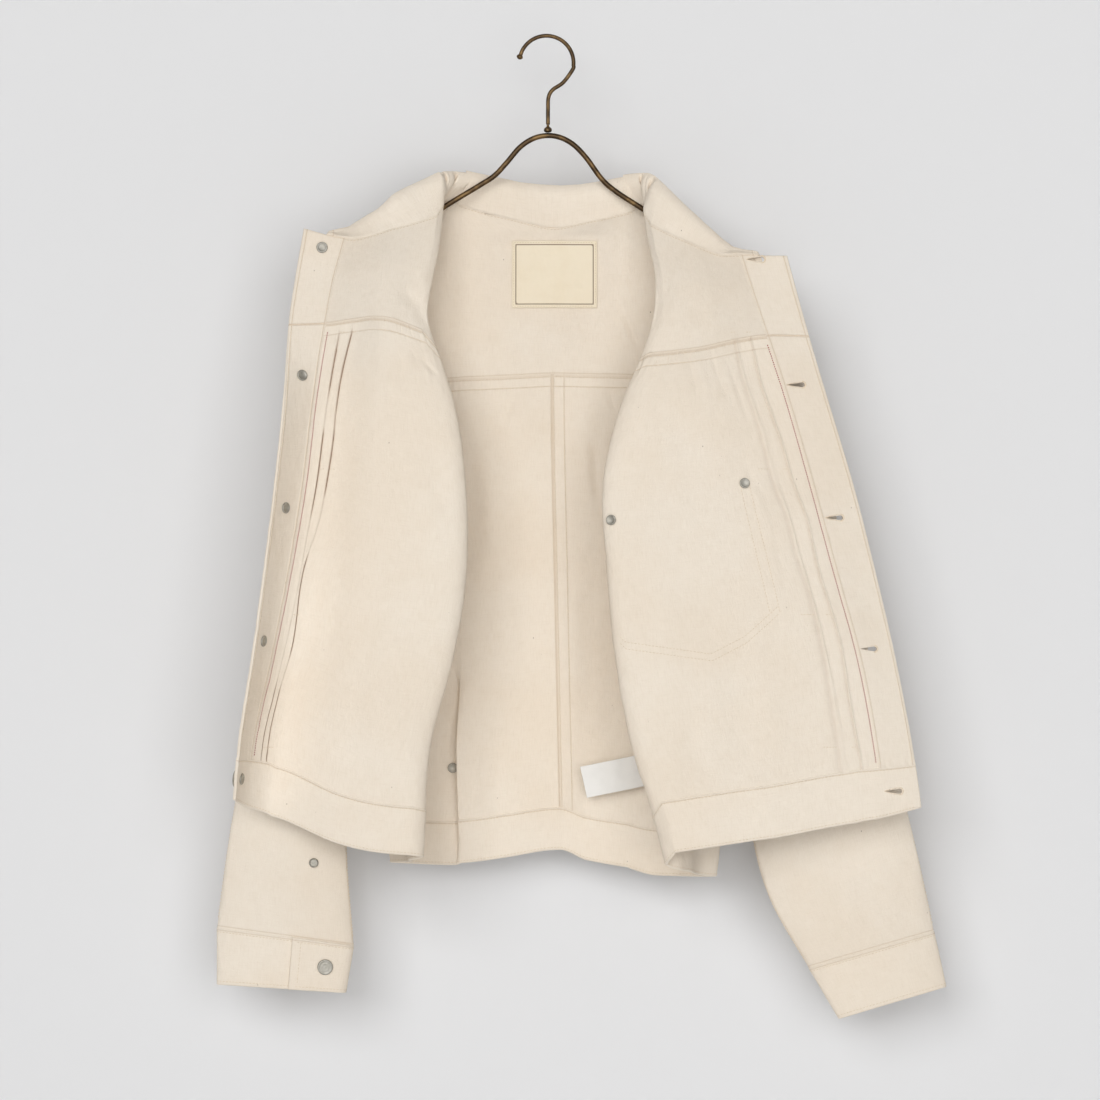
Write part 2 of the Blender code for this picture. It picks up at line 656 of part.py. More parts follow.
def make_body(cloth):
    """The plackets, yokes, panels and waistband. Pieces that meet share their steps along the seam."""
    front = spread_out((SELVEDGE, PLEATS, FRONT, FOLD_IN, FOLD_OUT, INNER, SIDE_FRONT, SIDE), (9, 2, 3, 4, 2, 2, 2))
    half_back = spread_out((SIDE, SIDE_BACK, TUCK_OUT, TUCK_FRONT, CENTRE), (2, 2, 5, 4))
    placket = np.linspace(EDGE, SELVEDGE, 4)
    lines = {"placket": placket, "front": front, "back": half_back}
    for side in ("left", "right"):
        if side == "right":
            lines = {key: mirrored(value) for key, value in lines.items()}
        strip = lines["placket"]
        body_piece(
            f"placket_top_{side}", strip, collar_line, yoke_line, YOKE_ROWS, PLACKET, cloth, trim=trim_placket
        )
        body_piece(f"placket_{side}", strip, yoke_line, waist_line, PANEL_ROWS, PLACKET, cloth, trim=trim_placket)
        body_piece(
            f"front_yoke_{side}", lines["front"], collar_line, yoke_line, YOKE_ROWS, PANEL, cloth, trim=trim_front
        )
        body_piece(
            f"front_panel_{side}", lines["front"], yoke_line, waist_line, PANEL_ROWS, PANEL, cloth,
            relief=pleats, trim=trim_front,
        )  # fmt: skip
        body_piece(
            f"back_panel_{side}", lines["back"], yoke_line, waist_line, PANEL_ROWS, PANEL, cloth, trim=trim_panel
        )
    back = np.concatenate([half_back, mirrored(half_back)[1:]])
    body_piece("back_yoke", back, collar_line, yoke_line, YOKE_ROWS, PANEL, cloth, trim=trim_back)
    half = np.concatenate([placket, front[1:], half_back[1:]])
    around = np.concatenate([half, mirrored(half)[1:]])

    def waistband_line(station):
        return waist_line(station) + 0.15

    body_piece("waistband", around, waistband_line, hem_line, WAISTBAND_ROWS, WAISTBAND, cloth)
    return around


# ---------------------------------------------------------------- collar


def collar(station):
    """The collar's own line at a station: seam, both sides of the roll, and the edge of the fall."""
    at = {
        name: smooth([row[0] for row in COLLAR_TABLE], [row[i] for row in COLLAR_TABLE], station)
        for i, name in enumerate(COLLAR_COLUMNS)
    }
    seam_drop = collar_line(station)
    start = body(station, seam_drop - COLLAR_RISE)
    out = outward(body, station, seam_drop + 1.0)
    roll = placed(at["roll_x"], at["roll_drop"], at["roll_y"])
    fall = placed(at["fall_x"], at["fall_drop"], at["fall_y"])
    rise = start - roll
    rise = rise / np.linalg.norm(rise, axis=-1, keepdims=True)
    room = np.minimum(2.5, 0.5 * np.linalg.norm(start - roll, axis=-1))[..., None]
    inner = roll + rise * room - out * ROLL_ROUND * room / 2.5
    outer = roll + rise * 2.5 + out * ROLL_ROUND
    middle = (outer + fall) / 2 + out * 0.8
    return np.stack([start, inner, roll, outer, middle, fall])


def collar_point(station, across):
    """The middle of the collar's cloth. across runs from 0 at the seam to 1 at the edge of the fall."""
    lines = collar(np.asarray(station, float))
    made = np.empty((len(station), len(across), 3))
    for i in range(len(station)):
        line = lines[:, i]
        knots = np.append(0, np.cumsum(np.linalg.norm(np.diff(line, axis=0), axis=1)))
        for axis in range(3):
            made[i, :, axis] = smooth(knots, line[:, axis], np.interp(across, COLLAR_MARKS, knots))
    return made


COLLAR_MARKS = (0.0, 0.4, 0.5, 0.6, 0.8, 1.0)


def grid_normals(grid):
    along = np.gradient(grid, axis=0)
    across = np.gradient(grid, axis=1)
    normal = np.cross(along, across)
    return normal / np.linalg.norm(normal, axis=-1, keepdims=True)


def grid_wall(name, grid, thickness, finish):
    half = grid_normals(grid) * thickness / 2
    return wall(name, grid - half, grid + half, finish)


def make_collar(cloth, around):
    half = np.concatenate([around[around < SELVEDGE + 0.01], around[(around > PLEATS - 0.01) & (around <= CENTRE)]])
    stations = np.concatenate([half, mirrored(half)[1:]])
    stations = stations[(stations > COLLAR_START + 0.05) & (stations < COLLAR_END - 0.05)]
    stations = np.concatenate([[COLLAR_START], stations, [COLLAR_END]])
    across = np.array([0, 0.2, 0.4, 0.5, 0.6, 0.8, 1.0])
    grid_wall("collar", collar_point(stations, across), COLLAR, cloth)


# ---------------------------------------------------------------- sleeves and cuffs


def flat_ring(row, columns, turn):
    """A flattened ring of cloth, turn 0 at its outer edge, its back first."""
    at = dict(zip(columns, row))
    middle_x = (at["outer_x"] + at["inner_x"]) / 2
    middle_drop = (at["outer_drop"] + at["inner_drop"]) / 2
    x = middle_x + (at["outer_x"] - middle_x) * np.cos(turn)
    drop = middle_drop + (at["outer_drop"] - middle_drop) * np.cos(turn)
    return placed(x, drop, at["y"] + at["half_depth"] * np.sin(turn))


def armhole_ring(side, turn):
    """The body's armhole edge, turn 0 at the shoulder's tip, its back first."""
    middle = (ARMHOLE_TOP + ARMHOLE_END) / 2
    drop = middle - (ARMHOLE_END - ARMHOLE_TOP) / 2 * np.cos(turn)
    half = SIDE + ARMHOLE_HALF_STATION * np.sin(turn)
    return body(half if side == "left" else LAST - half, drop)


def sleeve(side, turn, share):
    """The middle of the sleeve's cloth: turn goes round it, in radians, and share runs down it."""
    turn, share = np.broadcast_arrays(np.asarray(turn, float), np.asarray(share, float))
    rows = SLEEVES[side]
    rings = [armhole_ring(side, turn)] + [flat_ring(row[1:], SLEEVE_COLUMNS[1:], turn) for row in rows]
    knots = np.array([0.0] + [row[0] for row in rows])
    rings = np.array(rings)
    span = np.clip(np.searchsorted(knots, share, side="right") - 1, 0, len(knots) - 2)
    steps = np.diff(knots)
    slopes = np.diff(rings, axis=0) / steps.reshape(-1, *[1] * turn.ndim, 1)
    tangents = np.concatenate([slopes[:1], (slopes[:-1] + slopes[1:]) / 2, slopes[-1:]])
    picked = np.indices(turn.shape)
    length = steps[span][..., None]
    t = ((share - knots[span]) / steps[span])[..., None]
    return (
        rings[(span, *picked)] * (2 * t**3 - 3 * t**2 + 1)
        + rings[(span + 1, *picked)] * (3 * t**2 - 2 * t**3)
        + tangents[(span, *picked)] * length * (t**3 - 2 * t**2 + t)
        + tangents[(span + 1, *picked)] * length * (t**3 - t**2)
    )


def surface_normal(surface, a, b, step_a, step_b):
    """The unit normal of any surface of two numbers."""
    along = surface(a + step_a, b) - surface(a - step_a, b)
    across = surface(a, b + step_b) - surface(a, b - step_b)
    normal = np.cross(along, across)
    return normal / np.linalg.norm(normal, axis=-1, keepdims=True)


def cuff(side, turn, share):
    """The middle of the cuff's cloth. turn runs on past a whole round, where its end laps over its start."""
    turn, share = np.broadcast_arrays(np.asarray(turn, float), np.asarray(share, float))
    top, bottom = (flat_ring(row, CUFF_COLUMNS, turn) for row in CUFFS[side])
    start = np.radians(LAP_START[side])
    past = np.clip((turn - (start + 2 * pi - 0.75)) / 0.65, 0, 1)
    lift = (CUFF + SEAM_GAP + 0.1) * (3 * past**2 - 2 * past**3)
    middle = top + (bottom - top) * share[..., None]
    away = -1.0 if side == "left" else 1.0
    middle[..., 1] += away * lift
    return middle


def make_sleeve(side, cloth):
    gap = 0.014
    for half, start in (("back", 0.0), ("front", pi)):
        turn = np.linspace(start + gap, start + pi - gap, HALF_SLEEVE_ROWS)[:, None]
        share = np.linspace(0.0, 1.0 - 0.0006, HALF_SLEEVE_COLUMNS)[None, :]
        turn, share = np.broadcast_arrays(turn, share)

        def whole(a, b):
            return sleeve(side, a, b)

        middle = whole(turn, share)
        half_wall = surface_normal(whole, turn, share, 0.01, 0.002) * PANEL / 2
        wall(f"sleeve_{half}_{side}", middle - half_wall, middle + half_wall, cloth)
    begin = np.radians(LAP_START[side])
    turn = np.linspace(begin, begin + 2 * pi + np.radians(LAP), 29)[:, None]
    share = np.linspace(0.012, 1.0, 4)[None, :]
    grid_wall(f"cuff_{side}", cuff(side, turn, share), CUFF, cloth)


# ---------------------------------------------------------------- pocket, strap and labels


def seen_x(points):
    """A point's x in the tables."""
    return VIEW_X + (points[..., 0] - VIEW_X) / (1 + points[..., 1] / VIEW_DISTANCE)


def station_at(x, drop, first, last):
    """The station between two others where the body lies at x in the tables."""
    x, drop = np.broadcast_arrays(np.asarray(x, float), np.asarray(drop, float))
    tries = np.linspace(first, last, 80)
    seen = seen_x(body(tries[:, None], drop.reshape(1, -1)))
    order = 1 if seen[-1, 0] > seen[0, 0] else -1
    found = [np.interp(value, line[::order], tries[::order]) for value, line in zip(x.ravel(), seen.T)]
    return np.reshape(found, x.shape)


def make_pocket(cloth):
    """The chest pocket, on the outside of the right-hand front, with a pointed bottom."""
    ends = (POCKET_STATIONS[0], POCKET_STATIONS[-1])

    def top(station):
        return np.interp(station, ends, POCKET_MOUTH)

    def bottom(station):
        return np.interp(station, POCKET_POINT_AT, POCKET_POINT)

    lift = PANEL / 2 + POCKET_LIFT + POCKET / 2
    return body_piece("chest_pocket", POCKET_STATIONS, top, bottom, 6, POCKET, cloth, lift=lift)


def make_strap(cloth):
    """The back strap, stretched across the outside of the back between its two rivets."""
    x = STRAP_AT * STRAP_REACH
    y = np.interp(STRAP_AT, (-1, 1), STRAP_Y)
    half = STRAP_HALF_WIDTH * STRAP_TAPER
    drop = STRAP_DROP + 2 * (STRAP_AT + 1)
    rows = np.linspace(-1, 1, 3)
    grid = placed(x[:, None], drop[:, None] + half[:, None] * rows[None, :], y[:, None] + 0 * rows[None, :])
    return grid_wall("back_strap", grid, STRAP, cloth)


def make_labels(cream, white):
    x = np.linspace(*LABEL_X, 7)[:, None]
    drop = np.linspace(*LABEL_DROP, 5)[None, :]
    x, drop = np.broadcast_arrays(x, drop)
    station = station_at(x, drop, SIDE_BACK, LAST - SIDE_BACK)
    normal = outward(body, station, drop)
    middle = body(station, drop) - normal * (PANEL / 2 + LAID_GAP + LABEL / 2)
    wall("neck_label", middle - normal * LABEL / 2, middle + normal * LABEL / 2, cream)
    free_x, free_drop = np.array(CARE_FREE).T
    sewn_x, sewn_drop = np.array(CARE_SEWN).T
    station = station_at(sewn_x, sewn_drop, CENTRE, LAST - SIDE_BACK)
    lift = PANEL / 2 + LAID_GAP + CARE_LABEL / 2
    sewn = body(station, sewn_drop) - outward(body, station, sewn_drop) * lift
    free = placed(free_x, free_drop, np.full(2, CARE_FREE_Y))
    share = np.linspace(0, 1, 6)[:, None, None]
    bow = np.array((0.0, -1.0, 0.0)) * 2.5 * np.sin(pi * share)
    grid = free[None] + (sewn - free)[None] * share + bow
    grid_wall("care_label", grid, CARE_LABEL, white)


# ---------------------------------------------------------------- buttons and rivets


def stud(name, centre, out, inside, outside, back_radius, head_radius, metal):
    """A tack button or rivet: a low back inside, a post through the cloth and a head outside."""
    profile = (
        (-inside - 1.3, back_radius - 1.6),
        (-inside - 0.9, back_radius - 0.4),
        (-inside, back_radius),
        (-inside, TACK_POST),
        (outside, TACK_POST),
        (outside, head_radius),
        (outside + 1.0, head_radius),
        (outside + 1.8, head_radius - 1.6),
    )
    return turned(name, centre, out, profile, 9, metal)


def make_studs(nickel):
    """Every tack button and rivet, with its hole through the pieces that it holds."""
    pieces = bpy.data.objects
    clear = SEAM_GAP
    for number, (station, drop) in enumerate(TACKS, 1):
        held = "waistband" if number == len(TACKS) else "placket_left" if number > 1 else "placket_top_left"
        thickness = WAISTBAND if number == len(TACKS) else PLACKET
        at = np.array([station]), np.array([drop])
        centre = body(*at)[0]
        out = outward(body, *at)[0]
        reach = thickness / 2 + clear
        outside = thickness / 2 + TACK_SHANK
        stud(f"tack_button_{number}", centre, out, reach, outside, TACK_BACK_RADIUS, TACK_HEAD_RADIUS, nickel)
        pierce(pieces[held], centre, out, TACK_HOLE, 6)
    for side, station in STRAP_RIVETS.items():
        centre = body(np.array([station]), np.array([STRAP_DROP]))[0]
        strap_y = STRAP_Y[side == "right"]
        outside = strap_y - centre[1] + STRAP / 2 + clear
        inside = PANEL / 2 + 4 * clear
        stud(f"strap_rivet_{side}", centre, (0, 1, 0), inside, outside, RIVET_RADIUS, RIVET_HEAD, nickel)
        pierce(pieces[f"back_panel_{side}"], centre, (0, 1, 0), TACK_HOLE, 9)
        pierce(pieces["back_strap"], centre, (0, 1, 0), TACK_HOLE, 9)
    for number, (station, drop) in enumerate(POCKET_RIVETS, 1):
        at = np.array([station]), np.array([drop])
        centre = body(*at)[0]
        out = outward(body, *at)[0]
        outside = PANEL / 2 + POCKET_LIFT + POCKET + POCKET_RIVET_RISE
        stud(f"pocket_rivet_{number}", centre, out, PANEL / 2 + 2 * clear, outside, RIVET_RADIUS, RIVET_HEAD, nickel)
        pierce(pieces["front_panel_right"], centre, out, TACK_HOLE, 5)
        pierce(pieces["chest_pocket"], centre, out, TACK_HOLE, 5)


def make_sleeve_studs(side, nickel):
    pieces = bpy.data.objects
    turn, share = VENT_RIVET[side]
    half = "front" if side == "left" else "back"
    at = np.array([np.radians(turn)]), np.array([share])

    def whole_sleeve(a, b):
        return sleeve(side, a, b)

    def whole_cuff(a, b):
        return cuff(side, a, b)

    centre = whole_sleeve(*at)[0]
    out = surface_normal(whole_sleeve, *at, 0.02, 0.01)[0]
    out = out * np.sign(out[1]) * (-1 if side == "left" else 1)
    reach = PANEL / 2 + 2 * SEAM_GAP
    stud(f"vent_rivet_{side}", centre, out, reach, reach, RIVET_RADIUS - 0.8, RIVET_RADIUS - 0.4, nickel)
    pierce(pieces[f"sleeve_{half}_{side}"], centre, out, TACK_HOLE, 4)
    turn, share = CUFF_BUTTON[side]
    at = np.array([np.radians(turn)]), np.array([share])
    centre = whole_cuff(*at)[0]
    out = surface_normal(whole_cuff, *at, 0.02, 0.01)[0]
    out = out * np.sign(out[1]) * (-1 if side == "left" else 1)
    outside = CUFF / 2 + 2 * SEAM_GAP + 0.1 + CUFF
    inside = CUFF / 2 + SEAM_GAP
    stud(f"cuff_button_{side}", centre, out, inside, outside, TACK_BACK_RADIUS, 7.0, nickel)
    pierce(pieces[f"cuff_{side}"], centre, out, TACK_HOLE, 7)


# ---------------------------------------------------------------- hanger


def make_hanger(bronze):
    """The wire hook with its ball end, the arms, and the bead that the hook turns in."""
    bend = np.radians(np.linspace(*HOOK_BEND, 20))
    round_x = HOOK_X + HOOK_RADIUS * np.cos(bend)
    round_drop = HOOK_RADIUS - HOOK_WIRE - HOOK_RADIUS * np.sin(bend)
    route = np.array([*zip(round_x, round_drop), *HOOK_SHAFT])
    steps = np.linspace(0, len(route) - 1, 38)
    x = smooth(range(len(route)), route[:, 0], steps)
    drop = smooth(range(len(route)), route[:, 1], steps)
    wire = placed(x, drop, np.zeros(len(steps)))
    ahead = (wire[0] - wire[1]) / np.linalg.norm(wire[0] - wire[1])
    ball = [wire[0] + ahead * reach for reach in BALL_REACH]
    radii = [*BALL_RADII] + [HOOK_WIRE] * len(steps)
    tube("hanger_hook", np.vstack([ball, wire]), radii, 10, bronze)
    arm_x, arm_drop = np.array(ARM_ROUTE).T
    steps = np.linspace(0, len(ARM_ROUTE) - 1, 48)
    arm = placed(
        smooth(range(len(arm_x)), arm_x, steps), smooth(range(len(arm_x)), arm_drop, steps), np.zeros(len(steps))
    )
    radii = np.full(len(steps), ARM_WIRE)
    radii[0] = radii[-1] = 0.6 * ARM_WIRE
    tube("hanger_arms", arm, radii, 8, bronze)
    bead_drop = ARM_APEX - ARM_WIRE - SEAM_GAP
    turned("hanger_bead", placed(NECK_X, bead_drop, 0.0), (0, 0, 1), BEAD, 12, bronze)


def clear_scene():
    for thing in list(bpy.data.objects):
        bpy.data.objects.remove(thing, do_unlink=True)


def main():
    clear_scene()
    cloth = material("ecru_denim", (0.83, 0.74, 0.60), 0.9)
    bronze = material("bronze", (0.10, 0.07, 0.05), 0.4, 0.8)
    nickel = material("nickel", (0.45, 0.45, 0.42), 0.35, 0.9)
    cream = material("neck_label", (0.78, 0.70, 0.55), 0.8)
    white = material("care_label", (0.86, 0.86, 0.84), 0.7)
    around = make_body(cloth)
    make_collar(cloth, around)
    for side in ("left", "right"):
        make_sleeve(side, cloth)
        make_sleeve_studs(side, nickel)
    make_pocket(cloth)
    make_strap(cloth)
    make_labels(cream, white)
    make_studs(nickel)
    make_hanger(bronze)


main()
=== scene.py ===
"""An ecru pleated denim jacket on a wire hanger, dressed for rendering.

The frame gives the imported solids. Every piece here repeats the solid's own surface with a finer grid, and
adds its creases, puckers, seams and sewing. All shapes are functions of two numbers on a grid.

Tables are in millimetres, as the jacket is seen square-on in the hanger's plane: x to the right, drop
straight down from the hook and y behind the hanger. placed() turns such a point into the part's frame.
"""

import math

import bmesh
import bpy
import numpy as np
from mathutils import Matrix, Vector


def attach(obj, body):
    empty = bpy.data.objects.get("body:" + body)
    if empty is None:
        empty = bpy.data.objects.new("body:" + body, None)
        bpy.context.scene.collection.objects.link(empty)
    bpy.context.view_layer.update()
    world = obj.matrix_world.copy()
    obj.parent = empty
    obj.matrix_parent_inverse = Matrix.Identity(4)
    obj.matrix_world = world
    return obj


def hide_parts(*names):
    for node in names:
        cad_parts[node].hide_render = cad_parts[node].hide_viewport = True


bl_info = {
    "name": "Pleated denim jacket",
    "version": (1, 0, 0),
    "blender": (4, 5, 0),
    "location": "View3D > Sidebar > Jacket",
    "description": "Dresses the solids of a pleated denim jacket on a wire hanger",
    "category": "Add Mesh",
}

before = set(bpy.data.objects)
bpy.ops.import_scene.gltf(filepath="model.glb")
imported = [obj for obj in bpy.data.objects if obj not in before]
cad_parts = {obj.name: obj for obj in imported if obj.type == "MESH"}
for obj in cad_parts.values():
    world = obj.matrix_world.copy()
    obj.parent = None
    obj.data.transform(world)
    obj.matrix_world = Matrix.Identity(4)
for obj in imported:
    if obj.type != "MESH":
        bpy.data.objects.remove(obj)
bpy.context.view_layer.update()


MM = 0.001
SEAM_GAP = 0.3
LAID_GAP = 0.7

# The point that the tables are seen from.
VIEW_X = 4.5
VIEW_DROP = 461.0
VIEW_DISTANCE = 3300.0

# Walls.
PANEL = 1.4
PLACKET = 2.4
WAISTBAND = 2.6
COLLAR = 2.0
CUFF = 2.2
POCKET = 1.2
STRAP = 2.0
LABEL = 1.0
CARE_LABEL = 1.0


# Stations round the body. The right half's mirror the left's about the centre back.
EDGE, SELVEDGE, PLEATS, FRONT, FOLD_IN, FOLD, FOLD_OUT, INNER, SIDE_FRONT, SIDE, SIDE_BACK = range(11)
TUCK_OUT, TUCK_BACK, TUCK_FRONT, BACK, CENTRE = range(11, 16)
LAST = 2 * CENTRE

PLAN_COLUMNS = (
    "drop", "edge_x", "edge_y", "selvedge_x", "selvedge_y", "pleats_x", "pleats_y", "front_x", "front_y",
    "fold_x", "fold_y", "fold_round", "inner_y", "side_x", "side_y", "side_round", "back_y", "tuck",
)  # fmt: skip

# A row for each height. x is measured outwards from the origin's line, so both sides read alike.
LEFT_PLAN = (
    (140, 212, -29, 171, -26, 154, -24, 124, -21, 90.5, -12, 3.5, -4.0, 96.0, 4, 4.5, 15, 0.0),
    (150, 214, -30, 173, -28, 157, -26, 128, -24, 91.8, -14, 3.5, -5.0, 101, 3, 5.5, 16, 0.0),
    (165, 216, -33, 176, -31, 160, -29, 134, -27, 93.3, -17, 4.0, -9.0, 120.4, 2, 6.5, 18, 0.0),
    (180, 218.6, -36, 178.8, -34, 162, -32, 140, -30, 94.9, -20, 4.0, -12, 145.6, 1, 7.0, 21, 0.0),
    (215, 224.7, -40, 188.5, -38, 167, -37, 146, -38, 101.3, -27, 4.5, -15, 199, 1, 8.0, 25, 0.0),
    (250, 230, -46, 195.3, -44, 171, -44, 148, -45, 106.8, -34, 5.0, -18, 200, 2, 9.0, 29, 0.0),
    (290, 233.3, -56, 202.6, -46, 177, -48, 150, -50, 94.5, -40, 6.0, -20, 189, 5, 10, 31, 0.0),
    (320, 235.2, -70, 207.2, -48, 183, -46, 152, -53, 84.5, -45, 7.0, -22, 181, 8, 10, 33, 0.0),
    (400, 243.4, -78, 217, -50, 192, -46, 155, -58, 71.9, -52, 8.0, -24, 171, 12, 11, 35, 0.0),
    (480, 253, -84, 230.5, -52, 208, -44, 160, -62, 71.0, -57, 9.0, -27, 166, 14, 12, 36, 0.0),
    (560, 264, -89, 246.3, -54, 225, -42, 168, -64, 83.9, -61, 9.0, -30, 157, 15, 12, 36, 0.15),
    (640, 276, -92, 263.3, -56, 240, -42, 176, -66, 104.3, -64, 9.0, -34, 149, 16, 12, 37, 1.0),
    (700, 281, -88, 268, -56, 246, -43, 182, -67, 108.4, -66, 9.0, -36, 143, 16, 12, 38, 0.7),
    (760, 283, -86, 271, -56, 249, -44, 184, -68, 111.0, -67, 9.0, -37, 136, 16, 12, 38, 0.15),
)
RIGHT_PLAN = (
    (140, 202, -25, 160, -24, 143, -23, 115, -20, 86.5, -12, 3.5, -4.0, 92.5, 4, 4.5, 15, 0.0),
    (150, 205, -27, 163, -26, 146, -25, 118, -22, 88.5, -14, 3.5, -5.0, 97.5, 3, 5.5, 16, 0.0),
    (165, 209, -30, 167, -29, 150, -28, 122, -25, 90.5, -17, 4.0, -9.0, 116.0, 2, 6.5, 18, 0.0),
    (180, 213.4, -32, 170.5, -32, 153, -30, 126, -28, 93.0, -20, 4.0, -12, 140.5, 1, 7.0, 21, 0.0),
    (215, 223, -36, 180.8, -37, 159, -37, 132, -36, 99.8, -26, 4.5, -15, 193, 1, 8.0, 25, 0.0),
    (250, 232.6, -40, 192.5, -42, 168, -42, 136, -43, 98.4, -34, 5.0, -18, 204, 2, 9.0, 29, 0.0),
    (290, 244.1, -42, 206.2, -45, 180, -46, 142, -49, 85.7, -42, 6.0, -22, 194, 5, 10, 31, 0.0),
    (320, 253.1, -44, 216, -47, 189, -49, 146, -54, 72.5, -47, 6.5, -24, 187, 8, 10, 33, 0.0),
    (400, 277, -44, 239, -50, 211, -53, 152, -61, 52.5, -56, 6.5, -28, 178, 12, 11, 35, 0.0),
    (480, 297.4, -44, 260.6, -52, 233, -56, 168, -65, 56.5, -61, 7.5, -32, 173, 14, 12, 36, 0.0),
    (560, 316, -46, 282.6, -53, 254, -57, 184, -66, 64.0, -64, 9.0, -34, 168, 15, 12, 36, 0.0),
    (640, 331.3, -48, 297.5, -54, 270, -57, 198, -66, 79.0, -64, 9.0, -34, 163, 16, 12, 37, 0.0),
    (700, 339.5, -50, 305, -54, 280, -57, 208, -65, 98.0, -60, 9.0, -32, 159, 16, 12, 38, 0.0),
    (760, 342, -50, 311, -54, 284, -56, 212, -64, 113.5, -57, 9.0, -31, 153, 16, 12, 38, 0.0),
)
CENTRE_COLUMNS = ("drop", "x", "y")
CENTRE_PLAN = (
    (140, 7.0, 20),
    (180, 6.8, 24),
    (250, 6.0, 29),
    (320, 5.6, 32),
    (480, 8.5, 35),
    (640, 12.0, 37),
    (760, 14.5, 38),
)
TUCK_X = 78.0

# Seam lines: each one's drop at these stations, on the left half and on the right one.
SEAM_AT = (EDGE, SELVEDGE, PLEATS, FRONT, FOLD, INNER, SIDE, BACK, CENTRE)
COLLAR_SEAM = {
    "left": (171.5, 180.5, 179.3, 171.5, 149.5, 146.0, 147.0, 158.5, 171.0),
    "right": (196.0, 195.3, 194.6, 183.0, 156.0, 150.0, 148.0, 163.0, 171.0),
}
YOKE_SEAM = {
    "left": (258.5, 257.0, 253.5, 251.5, 279.0, 292.0, 303.0, 304.5, 302.5),
    "right": (268.5, 268.0, 271.5, 279.0, 289.0, 296.0, 303.0, 303.0, 302.5),
}
WAIST_SEAM = {
    "left": (648.5, 649.0, 655.0, 681.0, 694.5, 698.5, 702.0, 699.0, 692.0),
    "right": (653.5, 657.0, 660.0, 672.0, 699.5, 706.0, 711.0, 700.0, 692.0),
}
HEM = {
    "left": (686.0, 693.0, 701.0, 726.5, 738.0, 741.0, 742.5, 738.5, 731.0),
    "right": (693.0, 702.0, 707.0, 720.0, 745.0, 751.0, 755.0, 740.0, 731.0),
}

# Armholes: the opening round each side station, from the shoulder's tip down to the armpit.
ARMHOLE_TOP = 229.0
ARMHOLE_END = 452.0
ARMHOLE_HALF_STATION = 0.8
ARMHOLE_EASE = 1.9

# The collar: a stand up from the collar seam, a roll along its top and a fall behind. Left to right.
COLLAR_COLUMNS = ("station", "roll_x", "roll_drop", "roll_y", "fall_x", "fall_drop", "fall_y")
COLLAR_TABLE = (
    (0.55, -194.5, 174.8, -32.5, -189, 231, -25),
    (1.0, -181.0, 172.0, -31.0, -182, 235, -26),
    (2.0, -170.0, 166.5, -28.5, -161, 226, -27),
    (3.0, -147.0, 151.5, -25.0, -138, 208, -26),
    (3.6, -131.0, 138.5, -20.0, -124, 186, -22),
    (4.0, -106.0, 126.5, -12.0, -115, 153, -8),
    (5.0, -95.0, 122.5, -6.0, -110, 144, 0),
    (7.0, -88.0, 121.0, 2.0, -106, 141, 8),
    (9.0, -79.0, 121.5, 9.0, -94, 146, 21),
    (11.0, -66.0, 122.5, 14.0, -75, 162, 26),
    (14.0, -47.0, 125.5, 17.0, -55, 174, 29),
    (14.5, -22.0, 131.0, 20.0, -25, 185, 33),
    (15.0, 5.0, 133.5, 22.0, 6, 190, 35),
    (15.5, 31.0, 132.8, 20.0, 34, 186, 33),
    (16.0, 57.0, 128.5, 17.0, 61, 174, 29),
    (19.0, 71.0, 124.0, 14.0, 79, 162, 26),
    (21.0, 86.0, 122.5, 9.0, 99, 146, 21),
    (23.0, 95.0, 123.5, 2.0, 108, 143, 8),
    (25.0, 101.5, 128.0, -6.0, 114, 149, 0),
    (26.0, 107.0, 133.0, -12.0, 121, 160, -8),
    (26.4, 120.0, 145.5, -18.0, 127, 188, -22),
    (27.0, 137.0, 161.5, -23.0, 132, 212, -27),
    (28.0, 163.0, 184.5, -29.5, 156, 238, -31),
    (29.0, 176.0, 190.5, -32.5, 177, 254, -33),
    (29.42, 190.5, 193.0, -33.5, 194, 256, -33),
)
COLLAR_START = 0.55
COLLAR_END = 29.42
ROLL_ROUND = 2.6
COLLAR_RISE = 2.0

# Sleeves, from the armhole to the cuff seam. Outer is the edge away from the body and inner the underarm.
SLEEVE_COLUMNS = ("share", "outer_x", "outer_drop", "inner_x", "inner_drop", "y", "half_depth")
SLEEVES = {
    "left": (
        (0.12, -213.0, 250.0, -181.5, 470.0, 3, 13),
        (0.3, -226.0, 345.0, -184.0, 545.0, 0, 15),
        (0.5, -245.0, 480.0, -183.0, 622.0, -2, 15),
        (0.7, -264.5, 610.0, -180.0, 690.0, -2, 14),
        (0.87, -284.4, 726.0, -178.5, 750.0, -1, 13),
        (1.0, -294.3, 800.2, -172.8, 816.3, 0, 11),
    ),
    "right": (
        (0.12, 217.0, 250.0, 188.5, 470.0, 3, 13),
        (0.3, 240.0, 345.0, 191.0, 545.0, 2, 15),
        (0.5, 273.0, 480.0, 188.0, 625.0, 2, 15),
        (0.7, 304.0, 610.0, 186.0, 706.0, 3, 14),
        (0.87, 334.5, 735.0, 203.5, 775.0, 4, 13),
        (1.0, 349.2, 803.7, 237.6, 836.1, 5, 11),
    ),
}
CUFF_COLUMNS = ("outer_x", "outer_drop", "inner_x", "inner_drop", "y", "half_depth")
CUFFS = {
    "left": ((-294.3, 800.2, -172.8, 816.3, 0, 11), (-294.3, 852.3, -180.0, 859.5, 0, 10)),
    "right": ((349.2, 803.7, 237.6, 836.1, 5, 11), (360.5, 854.5, 265.5, 882.9, 6, 10)),
}
LAP_START = {"left": 212.0, "right": 32.0}
LAP = 52.0

